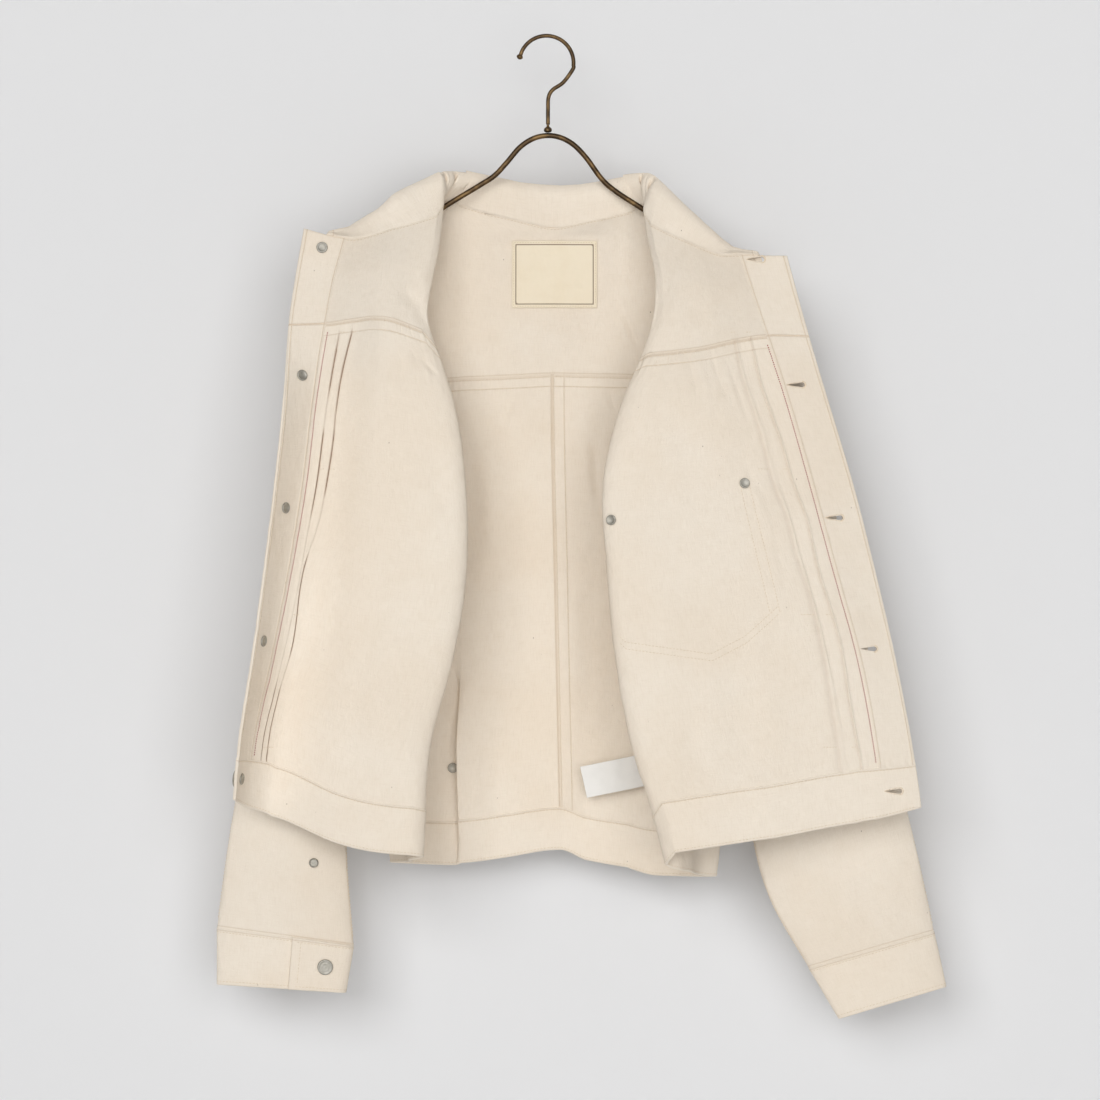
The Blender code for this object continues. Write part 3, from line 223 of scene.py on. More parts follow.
# Metal and labels. A place on the body is a station and a drop; one on a sleeve is degrees round it and a share down.
TACKS = ((0.50, 189.0), (0.52, 304.2), (0.50, 423.0), (0.41, 542.7), (0.42, 666.9))
TACK_BACK_RADIUS = 5.0
TACK_HEAD_RADIUS = 8.0
TACK_SHANK = 1.7
TACK_POST = 1.3
RIVET_RADIUS = 4.6
RIVET_HEAD = 4.8
POCKET_RIVETS = ((27.46, 401.0), (25.95, 434.0))
POCKET_STATIONS = (25.6, 26.0, 26.33, 26.67, 27.0, 27.5, 27.58)
POCKET_MOUTH = (427.0, 394.0)
POCKET_POINT_AT = (25.6, 26.689, 27.58)
POCKET_POINT = (546.0, 563.0, 517.0)
POCKET_LIFT = 0.9
POCKET_RIVET_RISE = 1.5
STRAP_RIVETS = {"left": 11.45, "right": 18.55}
STRAP_DROP = 657.0
STRAP_HALF_WIDTH = 16.0
STRAP_REACH = 100.0
STRAP_AT = np.array((-1, -0.86, -0.5, 0, 0.5, 0.86, 1))
STRAP_TAPER = np.array((0.35, 1, 1, 1, 1, 1, 0.35))
STRAP_Y = (41.6, 39.6)
LABEL_X = (-29.7, 46.8)
LABEL_DROP = (182.7, 243.0)
CARE_FREE = ((31.5, 656.0), (37.8, 684.0))
CARE_SEWN = ((104.0, 641.0), (110.0, 669.0))
CARE_FREE_Y = 21.0
VENT_RIVET = {"left": (244.0, 0.868), "right": (116.0, 0.868)}
CUFF_BUTTON = {"left": (231.0, 0.5), "right": (51.0, 0.5)}

# Hanger.
HOOK_RADIUS = 24.4
HOOK_X = 1.3
HOOK_WIRE = 1.8
HOOK_BEND = (163.0, -14.0)
# x and drop, from the end of the hook's round down its shaft.
HOOK_SHAFT = ((16.4, 40.2), (7.0, 46.8), (3.2, 53.5), (2.7, 65.0), (2.7, 78.0))
BALL_REACH = (4.2, 3.7, 2.7, 1.6, 0.6)
BALL_RADII = (0.5, 1.7, 2.7, 2.9, 2.4)
NECK_RADIUS = 1.3
NECK_X = 2.6
BEAD = ((0.0, 1.6), (0.6, 3.0), (2.2, 3.6), (4.0, 3.0), (5.0, 1.7), (5.6, NECK_RADIUS), (7.0, NECK_RADIUS))
ARM_WIRE = 2.4
ARM_APEX = 88.0
# x and drop, from the left tip over the top to the right tip.
ARM_ROUTE = (
    (-186.0, 213.5),
    (-172.0, 205.2),
    (-139.0, 183.5),
    (-92.0, 153.0),
    (-60.0, 133.5),
    (-46.0, 124.5),
    (-35.0, 113.0),
    (-22.5, 98.5),
    (-10.0, 90.5),
    (2.5, ARM_APEX),
    (14.5, 90.0),
    (26.0, 96.5),
    (37.5, 108.5),
    (51.0, 127.0),
    (64.0, 138.5),
    (87.0, 153.5),
    (132.0, 183.0),
    (172.0, 209.2),
    (186.1, 217.9),
)


# ---------------------------------------------------------------- curves and surfaces


def placed(x, drop, y):
    """A point of the tables, in the part's frame and in millimetres."""
    nearer = 1 + np.asarray(y) / VIEW_DISTANCE
    return np.stack(
        np.broadcast_arrays(
            VIEW_X + (x - VIEW_X) * nearer,
            y,
            -VIEW_DROP - (drop - VIEW_DROP) * nearer,
        ),
        axis=-1,
    )


def smooth(knots, values, at):
    """A smooth curve through values at the knots, its slopes averaged from the spans on both sides."""
    knots = np.asarray(knots, float)
    values = np.asarray(values, float)
    at = np.clip(at, knots[0], knots[-1])
    steps = np.diff(knots)
    slopes = np.diff(values) / steps
    tangents = np.empty(len(knots))
    tangents[0] = slopes[0]
    tangents[-1] = slopes[-1]
    tangents[1:-1] = (slopes[:-1] * steps[1:] + slopes[1:] * steps[:-1]) / (steps[1:] + steps[:-1])
    span = np.clip(np.searchsorted(knots, at, side="right") - 1, 0, len(knots) - 2)
    length = steps[span]
    t = (at - knots[span]) / length
    start = values[span]
    end = values[span + 1]
    return (
        start * (2 * t**3 - 3 * t**2 + 1)
        + end * (3 * t**2 - 2 * t**3)
        + tangents[span] * length * (t**3 - 2 * t**2 + t)
        + tangents[span + 1] * length * (t**3 - t**2)
    )


def column(table, columns, name, drop):
    """A named column of a plan table, at any drop."""
    index = columns.index(name)
    return smooth([row[0] for row in table], [row[index] for row in table], drop)


def half_stations(table, outward, drop):
    """The (x, y) of one half's stations at each drop, from the free edge to the back."""

    def at(name):
        return column(table, PLAN_COLUMNS, name, drop)

    fold_in = at("fold_x") + 1.2 * at("fold_round")
    side_in = at("side_x") - 1.3 * at("side_round")
    tuck = at("tuck")
    tuck_x = np.minimum(TUCK_X, at("side_x") - 24)
    back_y = at("back_y")
    spread = np.clip((at("side_x") - 77) / 60, 0.4, 1)
    x = (
        at("edge_x"),
        at("selvedge_x"),
        at("pleats_x"),
        at("front_x"),
        fold_in,
        at("fold_x"),
        fold_in,
        (fold_in + side_in) / 2,
        side_in,
        at("side_x"),
        side_in,
        tuck_x + 20 * spread,
        tuck_x + (9 - 22 * tuck) * spread,
        tuck_x - (4 - 5 * tuck) * spread,
        tuck_x - (38 - 10 * tuck) * spread - 4,
    )
    y = (
        at("edge_y"),
        at("selvedge_y"),
        at("pleats_y"),
        at("front_y"),
        at("fold_y") - at("fold_round"),
        at("fold_y"),
        at("fold_y") + at("fold_round"),
        at("inner_y"),
        at("side_y") - at("side_round"),
        at("side_y"),
        at("side_y") + at("side_round"),
        back_y - 2 + 4 * tuck,
        back_y - 1 - 1 * tuck,
        back_y - 12 * tuck,
        back_y - 2 * tuck,
    )
    return [(outward * px, py) for px, py in zip(x, y)]


def all_stations(drop):
    """Every station's (x, y) at each drop, from the left free edge to the right one."""
    left = half_stations(LEFT_PLAN, -1, drop)
    right = half_stations(RIGHT_PLAN, 1, drop)
    centre = (
        column(CENTRE_PLAN, CENTRE_COLUMNS, "x", drop),
        column(CENTRE_PLAN, CENTRE_COLUMNS, "y", drop),
    )
    return np.array([np.stack(point, axis=-1) for point in (*left, centre, *right[::-1])])


def through(points, index, t):
    """The centripetal curve through four neighbouring stations of each line, t from the second to the third."""
    rows = np.arange(len(index))
    p0 = points[np.clip(index - 1, 0, LAST), rows]
    p1 = points[index, rows]
    p2 = points[index + 1, rows]
    p3 = points[np.clip(index + 2, 0, LAST), rows]
    k01 = np.maximum(np.linalg.norm(p1 - p0, axis=1), 0.5)[:, None] ** 0.5
    k12 = np.maximum(np.linalg.norm(p2 - p1, axis=1), 0.5)[:, None] ** 0.5
    k23 = np.maximum(np.linalg.norm(p3 - p2, axis=1), 0.5)[:, None] ** 0.5
    m1 = (p2 - p1) + k12 * ((p1 - p0) / k01 - (p2 - p0) / (k01 + k12))
    m2 = (p2 - p1) + k12 * ((p3 - p2) / k23 - (p3 - p1) / (k12 + k23))
    t = t[:, None]
    return (
        p1 * (2 * t**3 - 3 * t**2 + 1)
        + p2 * (3 * t**2 - 2 * t**3)
        + m1 * (t**3 - 2 * t**2 + t)
        + m2 * (t**3 - t**2)
    )


def body(station, drop):
    """The middle of the body's cloth, as points in the part's frame. Even steps between stations are even lengths."""
    station, drop = np.broadcast_arrays(np.asarray(station, float), np.asarray(drop, float))
    flat_station = np.clip(station.ravel(), 0, LAST)
    flat_drop = drop.ravel()
    points = all_stations(flat_drop)
    index = np.minimum(flat_station.astype(int), LAST - 1)
    fraction = flat_station - index
    steps = np.linspace(0, 1, 9)
    line = np.array([through(points, index, np.full(len(index), t)) for t in steps])
    lengths = np.linalg.norm(np.diff(line, axis=0), axis=2)
    run = np.vstack([np.zeros(len(index)), np.cumsum(lengths, axis=0)])
    run = run / run[-1]
    span = np.clip((run < fraction).sum(axis=0) - 1, 0, len(steps) - 2)
    rows = np.arange(len(index))
    t = steps[span] + (fraction - run[span, rows]) / (run[span + 1, rows] - run[span, rows]) / (len(steps) - 1)
    flat = through(points, index, t)
    return placed(flat[:, 0], flat_drop, flat[:, 1]).reshape(*station.shape, 3)


def seam(line, station):
    """The drop of a seam line at any station."""
    left = list(zip(SEAM_AT, line["left"]))
    right = [(LAST - at, drop) for at, drop in zip(SEAM_AT, line["right"])][::-1][1:]
    knots, values = zip(*(left + right))
    return smooth(knots, values, station)


def outward(surface, station, drop):
    """The body's unit normal, pointing to the garment's outside."""
    along = surface(station + 0.02, drop) - surface(station - 0.02, drop)
    down = surface(station, drop + 0.5) - surface(station, drop - 0.5)
    normal = np.cross(along, down)
    return normal / np.linalg.norm(normal, axis=-1, keepdims=True)


def armhole(station, drop, ease):
    """How far, in stations, the armhole's edge lies from the side at this drop. 0 outside it."""
    middle = (ARMHOLE_TOP + ARMHOLE_END) / 2
    half = (ARMHOLE_END - ARMHOLE_TOP) / 2 + ease
    across = np.clip(1 - ((drop - middle) / half) ** 2, 0, 1) ** 0.5
    return (ARMHOLE_HALF_STATION + 0.08 * ease) * across


# ---------------------------------------------------------------- creases, puckers and pleats

# A soft crease or ridge on the body or sleeves: a line through three points as seen from in front, how
# wide it is, and its height towards the viewer. first and last limit it to a span of stations.
CREASE_COLUMNS = ("first", "last", "x1", "drop1", "x2", "drop2", "x3", "drop3", "width", "height")
BODY_CREASES = (
    # left front, from the yoke down
    (2.6, 5, -157, 182, -155, 240, -158, 299, 7.0, -1.6),
    (2.6, 5, -142, 190, -139, 240, -141, 300, 8.0, 0.9),
    (3, 5, -128, 226, -115, 240, -107, 262, 6.0, -2.4),
    (3, 5, -113, 205, -108, 224, -107, 238, 5.0, 1.2),
    (3, 5, -131, 283, -128, 296, -130, 312, 2.6, -1.0),
    (3, 5, -122, 283, -119, 298, -120, 316, 2.4, 0.9),
    (3, 5, -112, 287, -104, 297, -97, 303, 1.8, -1.3),
    (3, 5, -108, 296, -105, 303, -104, 314, 1.7, 0.9),
    (3, 5, -141, 318, -151, 372, -168, 420, 9.0, -1.5),
    (3, 5, -121, 330, -130, 390, -142, 440, 10.0, 1.3),
    (3, 5, -104, 350, -98, 390, -92, 430, 8.0, -1.3),
    (3, 5, -96, 420, -98, 470, -104, 520, 9.0, 1.1),
    (2.2, 4, -196, 470, -208, 540, -220, 600, 9.0, 1.4),
    (2.2, 4, -180, 440, -192, 520, -205, 590, 10.0, -1.3),
    (3, 5, -150, 520, -152, 580, -160, 640, 13.0, 1.4),
    (3, 5, -127, 560, -130, 610, -134, 655, 8.0, -1.5),
    (3, 5, -118, 590, -122, 630, -124, 668, 6.0, 1.0),
    (3, 5, -178, 610, -183, 640, -186, 668, 5.0, -0.9),
    # right front
    (25, 27.6, 171, 206, 178, 226, 186, 262, 1.6, -1.1),
    (25, 27.6, 167, 214, 174, 236, 180, 262, 2.4, 0.8),
    (25, 27.6, 130, 200, 133, 240, 140, 272, 6.0, -1.0),
    (25, 27.6, 108, 215, 104, 240, 98, 262, 7.0, -1.7),
    (25, 27.6, 148, 190, 150, 230, 156, 268, 7.0, 0.9),
    (25, 27.6, 128, 284, 132, 300, 137, 322, 2.2, -1.2),
    (25, 27.6, 137, 283, 142, 304, 150, 330, 2.4, 1.0),
    (25, 27.6, 149, 281, 155, 303, 165, 328, 2.2, -1.1),
    (25, 27.9, 159, 290, 168, 316, 178, 346, 2.6, 0.9),
    (25, 27.9, 168, 300, 180, 336, 190, 366, 2.2, -1.0),
    (25, 27.9, 178, 380, 188, 400, 200, 418, 2.4, -1.0),
    (25, 27.9, 186, 395, 196, 425, 205, 452, 2.6, 0.8),
    (25, 27.9, 206, 440, 210, 466, 216, 492, 2.2, -0.9),
    (25, 27, 92, 300, 84, 340, 72, 380, 9.0, 1.2),
    (25, 27, 110, 330, 130, 380, 150, 440, 14.0, -1.3),
    (25, 27, 75, 440, 80, 500, 88, 560, 9.0, -1.1),
    (25, 27, 100, 480, 112, 540, 122, 610, 12.0, 1.2),
    (25, 28, 160, 560, 172, 610, 180, 655, 12.0, -1.3),
    (25, 28, 196, 560, 204, 610, 214, 650, 10.0, 1.0),
    (25, 28, 128, 600, 136, 640, 142, 672, 8.0, -1.2),
    (25, 28, 112, 640, 118, 670, 124, 694, 6.0, 1.1),
    # the back, seen between the fronts
    (10.4, 19.6, -24, 317, -33, 335, -41, 350, 2.0, -1.5),
    (10.4, 19.6, -20, 320, -28, 338, -36, 356, 3.0, 0.8),
    (10.4, 19.6, 56, 316, 61, 328, 66, 342, 2.2, -1.4),
    (10.4, 19.6, 44, 362, 46, 392, 50, 424, 5.0, -2.6),
    (10.4, 19.6, 55, 352, 56, 390, 60, 430, 4.5, 1.8),
    (10.4, 19.6, 37, 330, 36, 370, 40, 420, 6.0, 1.0),
    (10.4, 19.6, -68, 352, -66, 410, -60, 470, 9.0, -3.2),
    (10.4, 19.6, -47, 350, -48, 400, -46, 480, 8.0, 1.7),
    (10.4, 19.6, -84, 340, -80, 400, -76, 470, 7.0, 1.6),
    (10.4, 19.6, -56, 480, -60, 540, -62, 590, 10.0, -1.6),
    (10.4, 19.6, -30, 420, -36, 520, -40, 620, 12.0, 1.2),
    (10.4, 19.6, -10, 450, -14, 540, -12, 640, 8.0, -0.9),
    (10.4, 19.6, 40, 440, 42, 520, 40, 610, 9.0, -1.2),
    (10.4, 19.6, 62, 460, 66, 540, 70, 620, 8.0, 1.3),
    (10.4, 19.6, 24, 500, 26, 580, 24, 660, 8.0, 0.9),
    (10.4, 19.6, 84, 560, 88, 620, 92, 680, 8.0, -1.6),
    (10.4, 19.6, -66, 640, -62, 670, -60, 700, 6.0, 1.2),
    (10.4, 19.6, -84, 210, -86, 250, -88, 290, 8.0, -2.0),
    (10.4, 19.6, -66, 190, -68, 240, -70, 292, 8.0, 1.2),
    (10.4, 19.6, 57, 216, 70, 244, 84, 276, 3.0, -1.2),
    (10.4, 19.6, 66, 206, 78, 234, 90, 262, 4.0, 0.9),
    (10.4, 19.6, 72, 250, 80, 270, 90, 292, 3.0, -1.0),
    (10.4, 19.6, -50, 186, -30, 190, -10, 188, 4.0, -0.9),
    # the hidden sides: both inner layers and the outside of the back near the armholes
    (5.6, 9.6, -118, 330, -122, 380, -120, 430, 8.0, 1.5),
    (5.6, 9.6, -138, 480, -134, 540, -128, 600, 9.0, -1.6),
    (5.6, 9.6, -112, 560, -116, 610, -118, 660, 7.0, 1.3),
    (20.4, 24.4, 110, 330, 118, 390, 122, 450, 8.0, 1.5),
    (20.4, 24.4, 140, 470, 134, 540, 130, 610, 9.0, -1.6),
    (20.4, 24.4, 100, 540, 108, 600, 120, 660, 7.0, 1.3),
    (9.6, 11.6, -150, 470, -140, 500, -122, 520, 5.0, -1.6),
    (9.6, 11.6, -155, 300, -140, 340, -120, 372, 7.0, 1.6),
    (9.6, 11.6, -150, 560, -136, 600, -118, 640, 8.0, -1.5),
    (18.4, 20.4, 156, 470, 146, 500, 126, 522, 5.0, -1.6),
    (18.4, 20.4, 160, 300, 142, 340, 122, 372, 7.0, 1.6),
    (18.4, 20.4, 152, 560, 140, 600, 120, 640, 8.0, -1.5),
)  # fmt: skip

# The slit of each pleat: where it runs, left then right, and how far it stands open down its length.
PLEAT_LINES = {
    "left": (
        ((262.8, -185.4), (307.8, -193.5), (336.6, -198.0), (357.3, -200.7), (398.7, -206.1), (443.7, -214.2),
         (532.8, -231.3), (585.9, -243.9), (626.4, -253.8), (647.1, -257.0)),
        ((262.8, -174.2), (301.5, -183.6), (333.0, -188.6), (363.6, -191.7), (398.7, -197.1), (432.0, -203.4),
         (477.0, -217.8), (551.7, -229.5), (588.6, -240.3), (629.1, -249.3), (650.7, -252.0)),
    ),
    "right": (
        ((270.9, 185.4), (311.9, 194.9), (339.3, 204.3), (364.5, 213.3), (399.6, 223.2), (431.1, 235.4),
         (472.5, 244.8), (547.2, 266.4), (603.0, 275.4), (659.7, 286.2)),
        ((273.6, 171.9), (305.1, 179.1), (332.1, 188.1), (360.0, 197.1), (397.8, 207.0), (433.8, 220.5),
         (462.6, 227.7), (494.1, 237.6), (564.3, 254.7), (603.0, 261.0), (661.5, 270.0)),
    ),
}  # fmt: skip
PLEAT_OPEN = {
    "left": (
        ((262, 0.1), (270, 0.5), (285, 1.0), (312, 0.9), (325, 0.3), (350, 0.25), (359, 1.0), (405, 1.0), (424, 0.7),
         (436, 0.2), (575, 0.12), (590, 0.9), (640, 0.9), (660, 0.5)),
        ((262, 0.3), (268, 1.0), (305, 1.0), (335, 0.7), (350, 0.55), (362, 0.9), (404, 1.0), (415, 0.3), (462, 0.2),
         (474, 0.9), (548, 1.0), (560, 0.35), (580, 0.2), (592, 0.8), (648, 0.8), (660, 0.4)),
    ),
    "right": (
        ((268, 0.2), (300, 0.3), (345, 0.35), (400, 0.3), (470, 0.45), (540, 0.3), (610, 0.45), (660, 0.3)),
        ((268, 0.2), (290, 0.35), (350, 0.25), (400, 0.4), (450, 0.3), (520, 0.45), (600, 0.35), (660, 0.3)),
    ),
}  # fmt: skip
SLIT_HALF = 0.045
SLIT_LIP = 1.1
SLIT_DEPTH = 0.9


def unit(vectors):
    return vectors / np.maximum(np.linalg.norm(vectors, axis=-1, keepdims=True), 1e-9)


def waves(along, across, pitch, seed):
    """Uneven waves between -1 and 1: a sum of five sines whose pitches and turns share no common step."""
    turns = seed * 2.399 + np.arange(5) * 1.618
    total = 0
    for k, turn in enumerate(turns):
        step = pitch * (0.62 + 0.23 * k)
        total = total + np.sin(2 * math.pi * along / step + 1.7 * np.sin(2 * math.pi * across / (step * 1.9) + turn)
                               + 3 * turn) / (1 + 0.35 * k)  # fmt: skip
    return total / 3.1


def crease(x, drop, row):
    """The height of one crease: a bell across a line through three points, which fades at its ends."""
    best = np.full(np.shape(x), 1e9)
    along = np.zeros(np.shape(x))
    for k, (x1, d1, x2, d2) in enumerate(((*row[2:4], *row[4:6]), (*row[4:6], *row[6:8]))):
        length = math.hypot(x2 - x1, d2 - d1)
        t = np.clip(((x - x1) * (x2 - x1) + (drop - d1) * (d2 - d1)) / length**2, 0, 1)
        far = np.hypot(x - x1 - t * (x2 - x1), drop - d1 - t * (d2 - d1))
        nearer = far < best
        along = np.where(nearer, (k + t) / 2, along)
        best = np.where(nearer, far, best)
    fade = np.clip(4 * along * (1 - along), 0, 1) ** 0.7
    return row[9] * np.exp(-((best / row[8]) ** 2)) * fade


def creases(table, station, x, drop):
    """The sum of every crease of a table, each within its span of stations, where it fades out."""
    total = np.zeros(np.shape(x))
    for row in table:
        inside = np.minimum(station - row[0], row[1] - station) / CREASE_FADE
        near = inside > 0
        total[near] += crease(x[near], drop[near], row) * np.minimum(inside[near], 1)
    return total


CREASE_FADE = 0.3


def seam_puckers(distance, along, reach, rise, seed):
    """Small gathers beside a seam: waves along it that die away from it on both sides."""
    return rise * np.exp(-np.abs(distance) / reach) * waves(along, distance * 0.3, 9.0, seed)


def girth(station):
    """Roughly how far round the body a station lies, in millimetres."""
    return np.interp(station, GIRTH_STATIONS, GIRTH_RUN)


GIRTH_STATIONS = np.arange(LAST + 1.0)
GIRTH_DROP = 420.0


def pleat_station(side, number, drop):
    """The station of a pleat's slit at each drop, where the body lies at the slit's x."""
    line = PLEAT_LINES[side][number]
    x = smooth([at for at, _ in line], [value for _, value in line], drop)
    ends = (SELVEDGE, FRONT) if side == "left" else (LAST - FRONT, LAST - SELVEDGE)
    tries = np.linspace(*ends, 60)
    seen = seen_x(body(tries[:, None], drop[None, :]))
    order = 1 if seen[-1, 0] > seen[0, 0] else -1
    found = np.array([np.interp(value, line[::order], tries[::order]) for value, line in zip(x, seen.T)])
    return found if side == "left" else LAST - found


def pleat_tables(drops):
    """Each side's two slits as half stations at the drops."""
    return {side: [pleat_station(side, number, drops) for number in (0, 1)] for side in ("left", "right")}


def pleat_relief(station, drop):
    """The pleats' height and their painted shade: on the left a lip before an open slit, whose inside is painted dark
    brown as shade, on the right a closed ridge with fainter painted shade in its slit.
    """
    side = "left" if station.mean() < CENTRE else "right"
    half = station if side == "left" else LAST - station
    rise = np.zeros(station.shape)
    dark = np.zeros(station.shape)
    for number in (0, 1):
        at = np.interp(drop, PLEAT_DROPS, PLEATS_AT[side][number])
        knots, values = zip(*PLEAT_OPEN[side][number])
        opened = np.interp(drop, knots, values)
        opened = opened * (0.9 + 0.15 * waves(drop, drop * 0, 23.0, number + 1))
        across = (half - at) / SLIT_HALF
        fade = np.clip((drop - 256) / 8, 0, 1)
        if side == "left":
            lip = np.where(across < 0, np.exp(across / 2.4), np.exp(-((across / 0.55) ** 2)))
            slit = np.exp(-(((across - 1.0) / 0.85) ** 2))
            rise += fade * (SLIT_LIP * (0.3 + 0.7 * opened) * lip - SLIT_DEPTH * opened * slit)
            # painted shade: the open slit's inside coloured dark, as the shade in the gap
            dark += fade * np.clip(1.35 * opened - 0.1, 0, 1) * np.exp(-(((across - 0.95) / 0.46) ** 2))
        else:
            ridge = np.exp(-((across / 0.7) ** 2))
            slit = np.exp(-(((across - 1.15) / 0.8) ** 2))
            rise += fade * (0.95 * ridge - 0.55 * slit)
            # painted shade: a fainter dark in the closed slit
            dark += fade * 0.5 * opened * slit
    return rise, dark


def body_relief(station, drop):
    """The cloth's height over the solid's surface, towards the inside: creases, drape and puckers, without pleats."""
    points = body(station, drop)
    x = seen_x(points)
    run = girth(station)
    height = creases(BODY_CREASES, station, x, drop)
    height = height + 0.55 * waves(run, drop * 0.35, 74.0, 1) + 0.28 * waves(run + 0.6 * drop, drop, 37.0, 2)
    height = height + 0.2 * waves(run * 0.7 - drop, run + drop, 17.0, 3) + 0.09 * waves(run, drop * 0.3, 7.0, 15)
    below = drop - yoke_line(station)
    gathered = np.where(below > 0, seam_puckers(below - 3, run, 14.0, 0.9, 4), seam_puckers(below, run, 4.0, 0.3, 5))
    height = height + gathered * yoke_gather(station)
    waist = waist_line(station) - drop
    height = height + np.where(waist > 0, seam_puckers(waist, run, 13.0, 0.7, 6), seam_puckers(waist, run, 9.0, 0.3, 7))
    height = height + seam_puckers((station - CENTRE) * 30, drop, 5.0, 0.22, 8)
    height = height + seam_puckers(drop - collar_line(station), run, 5.0, 0.3, 9)
    hem = hem_line(station) - drop
    height = height + seam_puckers(hem, run + 7, 7.0, 0.22, 10)
    return height


def yoke_gather(station):
    """How much the cloth under the yoke is gathered at each station: most beside the folds and the armholes."""
    half = np.where(station < CENTRE, station, LAST - station)
    return np.interp(half, (0, 2, 3, 3.5, 4.5, 9, 10.5, 12, 13.5, 15), (0.15, 0.3, 0.5, 1.0, 1.0, 1.0, 1.4, 1.6, 0.9, 0.4))


def collar_line(station):
    return seam(COLLAR_SEAM, station)


def yoke_line(station):
    return seam(YOKE_SEAM, station)


def waist_line(station):
    return seam(WAIST_SEAM, station)


def hem_line(station):
    return seam(HEM, station)


def seen_x(points):
    """A point's x as it is seen in the hanger's plane."""
    return VIEW_X + (points[..., 0] - VIEW_X) / (1 + points[..., 1] / VIEW_DISTANCE)


def seen_drop(points):
    """A point's drop as it is seen in the hanger's plane."""
    return VIEW_DROP + (-points[..., 2] - VIEW_DROP) / (1 + points[..., 1] / VIEW_DISTANCE)


def dressed(station, drop, lift=0.0, pleated=False):
    """Points of the finished cloth's middle, its normals, and how much painted shade its slits get.

    The solid's surface, moved along its normal: out by lift, and in by the relief."""
    normal = outward(body, station, drop)
    height = body_relief(station, drop)
    dark = np.zeros(station.shape)
    if pleated:
        rise, dark = pleat_relief(station, drop)
        height = height + rise
    return body(station, drop) + normal * (lift - height)[..., None], normal, dark


# ---------------------------------------------------------------- meshes


def grid_faces(rows, columns, first, flip=False):
    """A grid's quads as an array of corner numbers."""
    i, j = np.meshgrid(np.arange(rows - 1), np.arange(columns - 1), indexing="ij")
    a = first + i * columns + j
    quads = np.stack([a, a + columns, a + columns + 1, a + 1], axis=-1).reshape(-1, 4)
    return quads[:, ::-1] if flip else quads


def rim_loop(rows, columns):
    """The grid numbers of its boundary, in order round it."""
    top = np.arange(columns)
    right = np.arange(1, rows) * columns + columns - 1
    bottom = (rows - 1) * columns + np.arange(columns - 2, -1, -1)
    left = np.arange(rows - 2, 0, -1) * columns
    return np.concatenate([top, right, bottom, left])


# The turn between two faces, in radians, from which their shared edge is drawn sharp.
SHARP = 0.75


def shell(name, inside, outside, finish, round_off=0.0, values=None, uv=None):
    """A closed wall between two matching grids, with its edge rounded off by one more row of points.

    values holds numbers for each grid point, kept as attributes; uv is the cloth's own width and length in metres."""
    rows, columns = inside.shape[:2]
    count = rows * columns
    loop = rim_loop(rows, columns)
    flat_in = inside.reshape(-1, 3).copy()
    flat_out = outside.reshape(-1, 3).copy()
    middle = (flat_in + flat_out) / 2
    inner = np.empty((rows, columns), int)
    inner[:] = np.arange(count).reshape(rows, columns)
    neighbour = inner[np.clip(np.arange(rows), 1, rows - 2)[:, None], np.clip(np.arange(columns), 1, columns - 2)[None, :]]
    towards = unit(middle[neighbour.reshape(-1)[loop]] - middle[loop])
    edge = middle[loop]
    flat_in[loop] += towards * round_off
    flat_out[loop] += towards * round_off
    points = np.vstack([flat_in, flat_out, edge])
    turn = np.roll(loop, -1)
    ring = 2 * count + np.arange(len(loop))
    ring_next = np.roll(ring, -1)
    faces = np.vstack(
        [
            grid_faces(rows, columns, 0),
            grid_faces(rows, columns, count, flip=True),
            np.stack([turn, loop, ring, ring_next], axis=-1),
            np.stack([ring_next, ring, count + loop, count + turn], axis=-1),
        ]
    )
    made = mesh_object(name, points, faces, finish)
    made.data.set_sharp_from_angle(angle=SHARP)
    for key, value in (values or {}).items():
        flat = value.reshape(-1)
        store(made, key, np.concatenate([flat, flat, flat[loop]]))
    if uv is not None:
        flat = uv.reshape(-1, 2)
        store_uv(made, np.concatenate([flat, flat, flat[loop]]))
    return made


def mesh_object(name, points, faces, finish, smooth_faces=True):
    """An object from points in millimetres and an array of faces, turned to face outwards."""
    mesh = bpy.data.meshes.new(name)
    points = np.asarray(points, np.float32) * MM
    faces = np.asarray(faces, np.int32)
    corners = faces.shape[1]
    mesh.vertices.add(len(points))
    mesh.vertices.foreach_set("co", points.ravel())
    mesh.loops.add(faces.size)
    mesh.loops.foreach_set("vertex_index", faces.ravel())
    mesh.polygons.add(len(faces))
    mesh.polygons.foreach_set("loop_start", np.arange(len(faces), dtype=np.int32) * corners)
    mesh.update(calc_edges=True)
    triangles = faces if corners == 3 else np.vstack([faces[:, :3], faces[:, [0, 2, 3]]])
    a, b, c = (points[triangles[:, k]].astype(float) - points.mean(axis=0) for k in range(3))
    if np.einsum("ij,ij->i", a, np.cross(b, c)).sum() < 0:
        mesh.flip_normals()
    mesh.polygons.foreach_set("use_smooth", np.full(len(faces), smooth_faces))
    mesh.materials.append(FINISHES[finish])
    made = bpy.data.objects.new(name, mesh)
    bpy.context.scene.collection.objects.link(made)
    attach(made, "root")
    return made


def store(made, key, values):
    layer = made.data.attributes.new(key, "FLOAT", "POINT")
    layer.data.foreach_set("value", np.asarray(values, np.float32))


def store_uv(made, values):
    """The cloth's own width and length as its UV map, in metres."""
    mesh = made.data
    corner = np.empty(len(mesh.loops), np.int32)
    mesh.loops.foreach_get("vertex_index", corner)
    layer = mesh.uv_layers.new(name="cloth")
    layer.data.foreach_set("uv", np.asarray(values, np.float32)[corner].ravel())


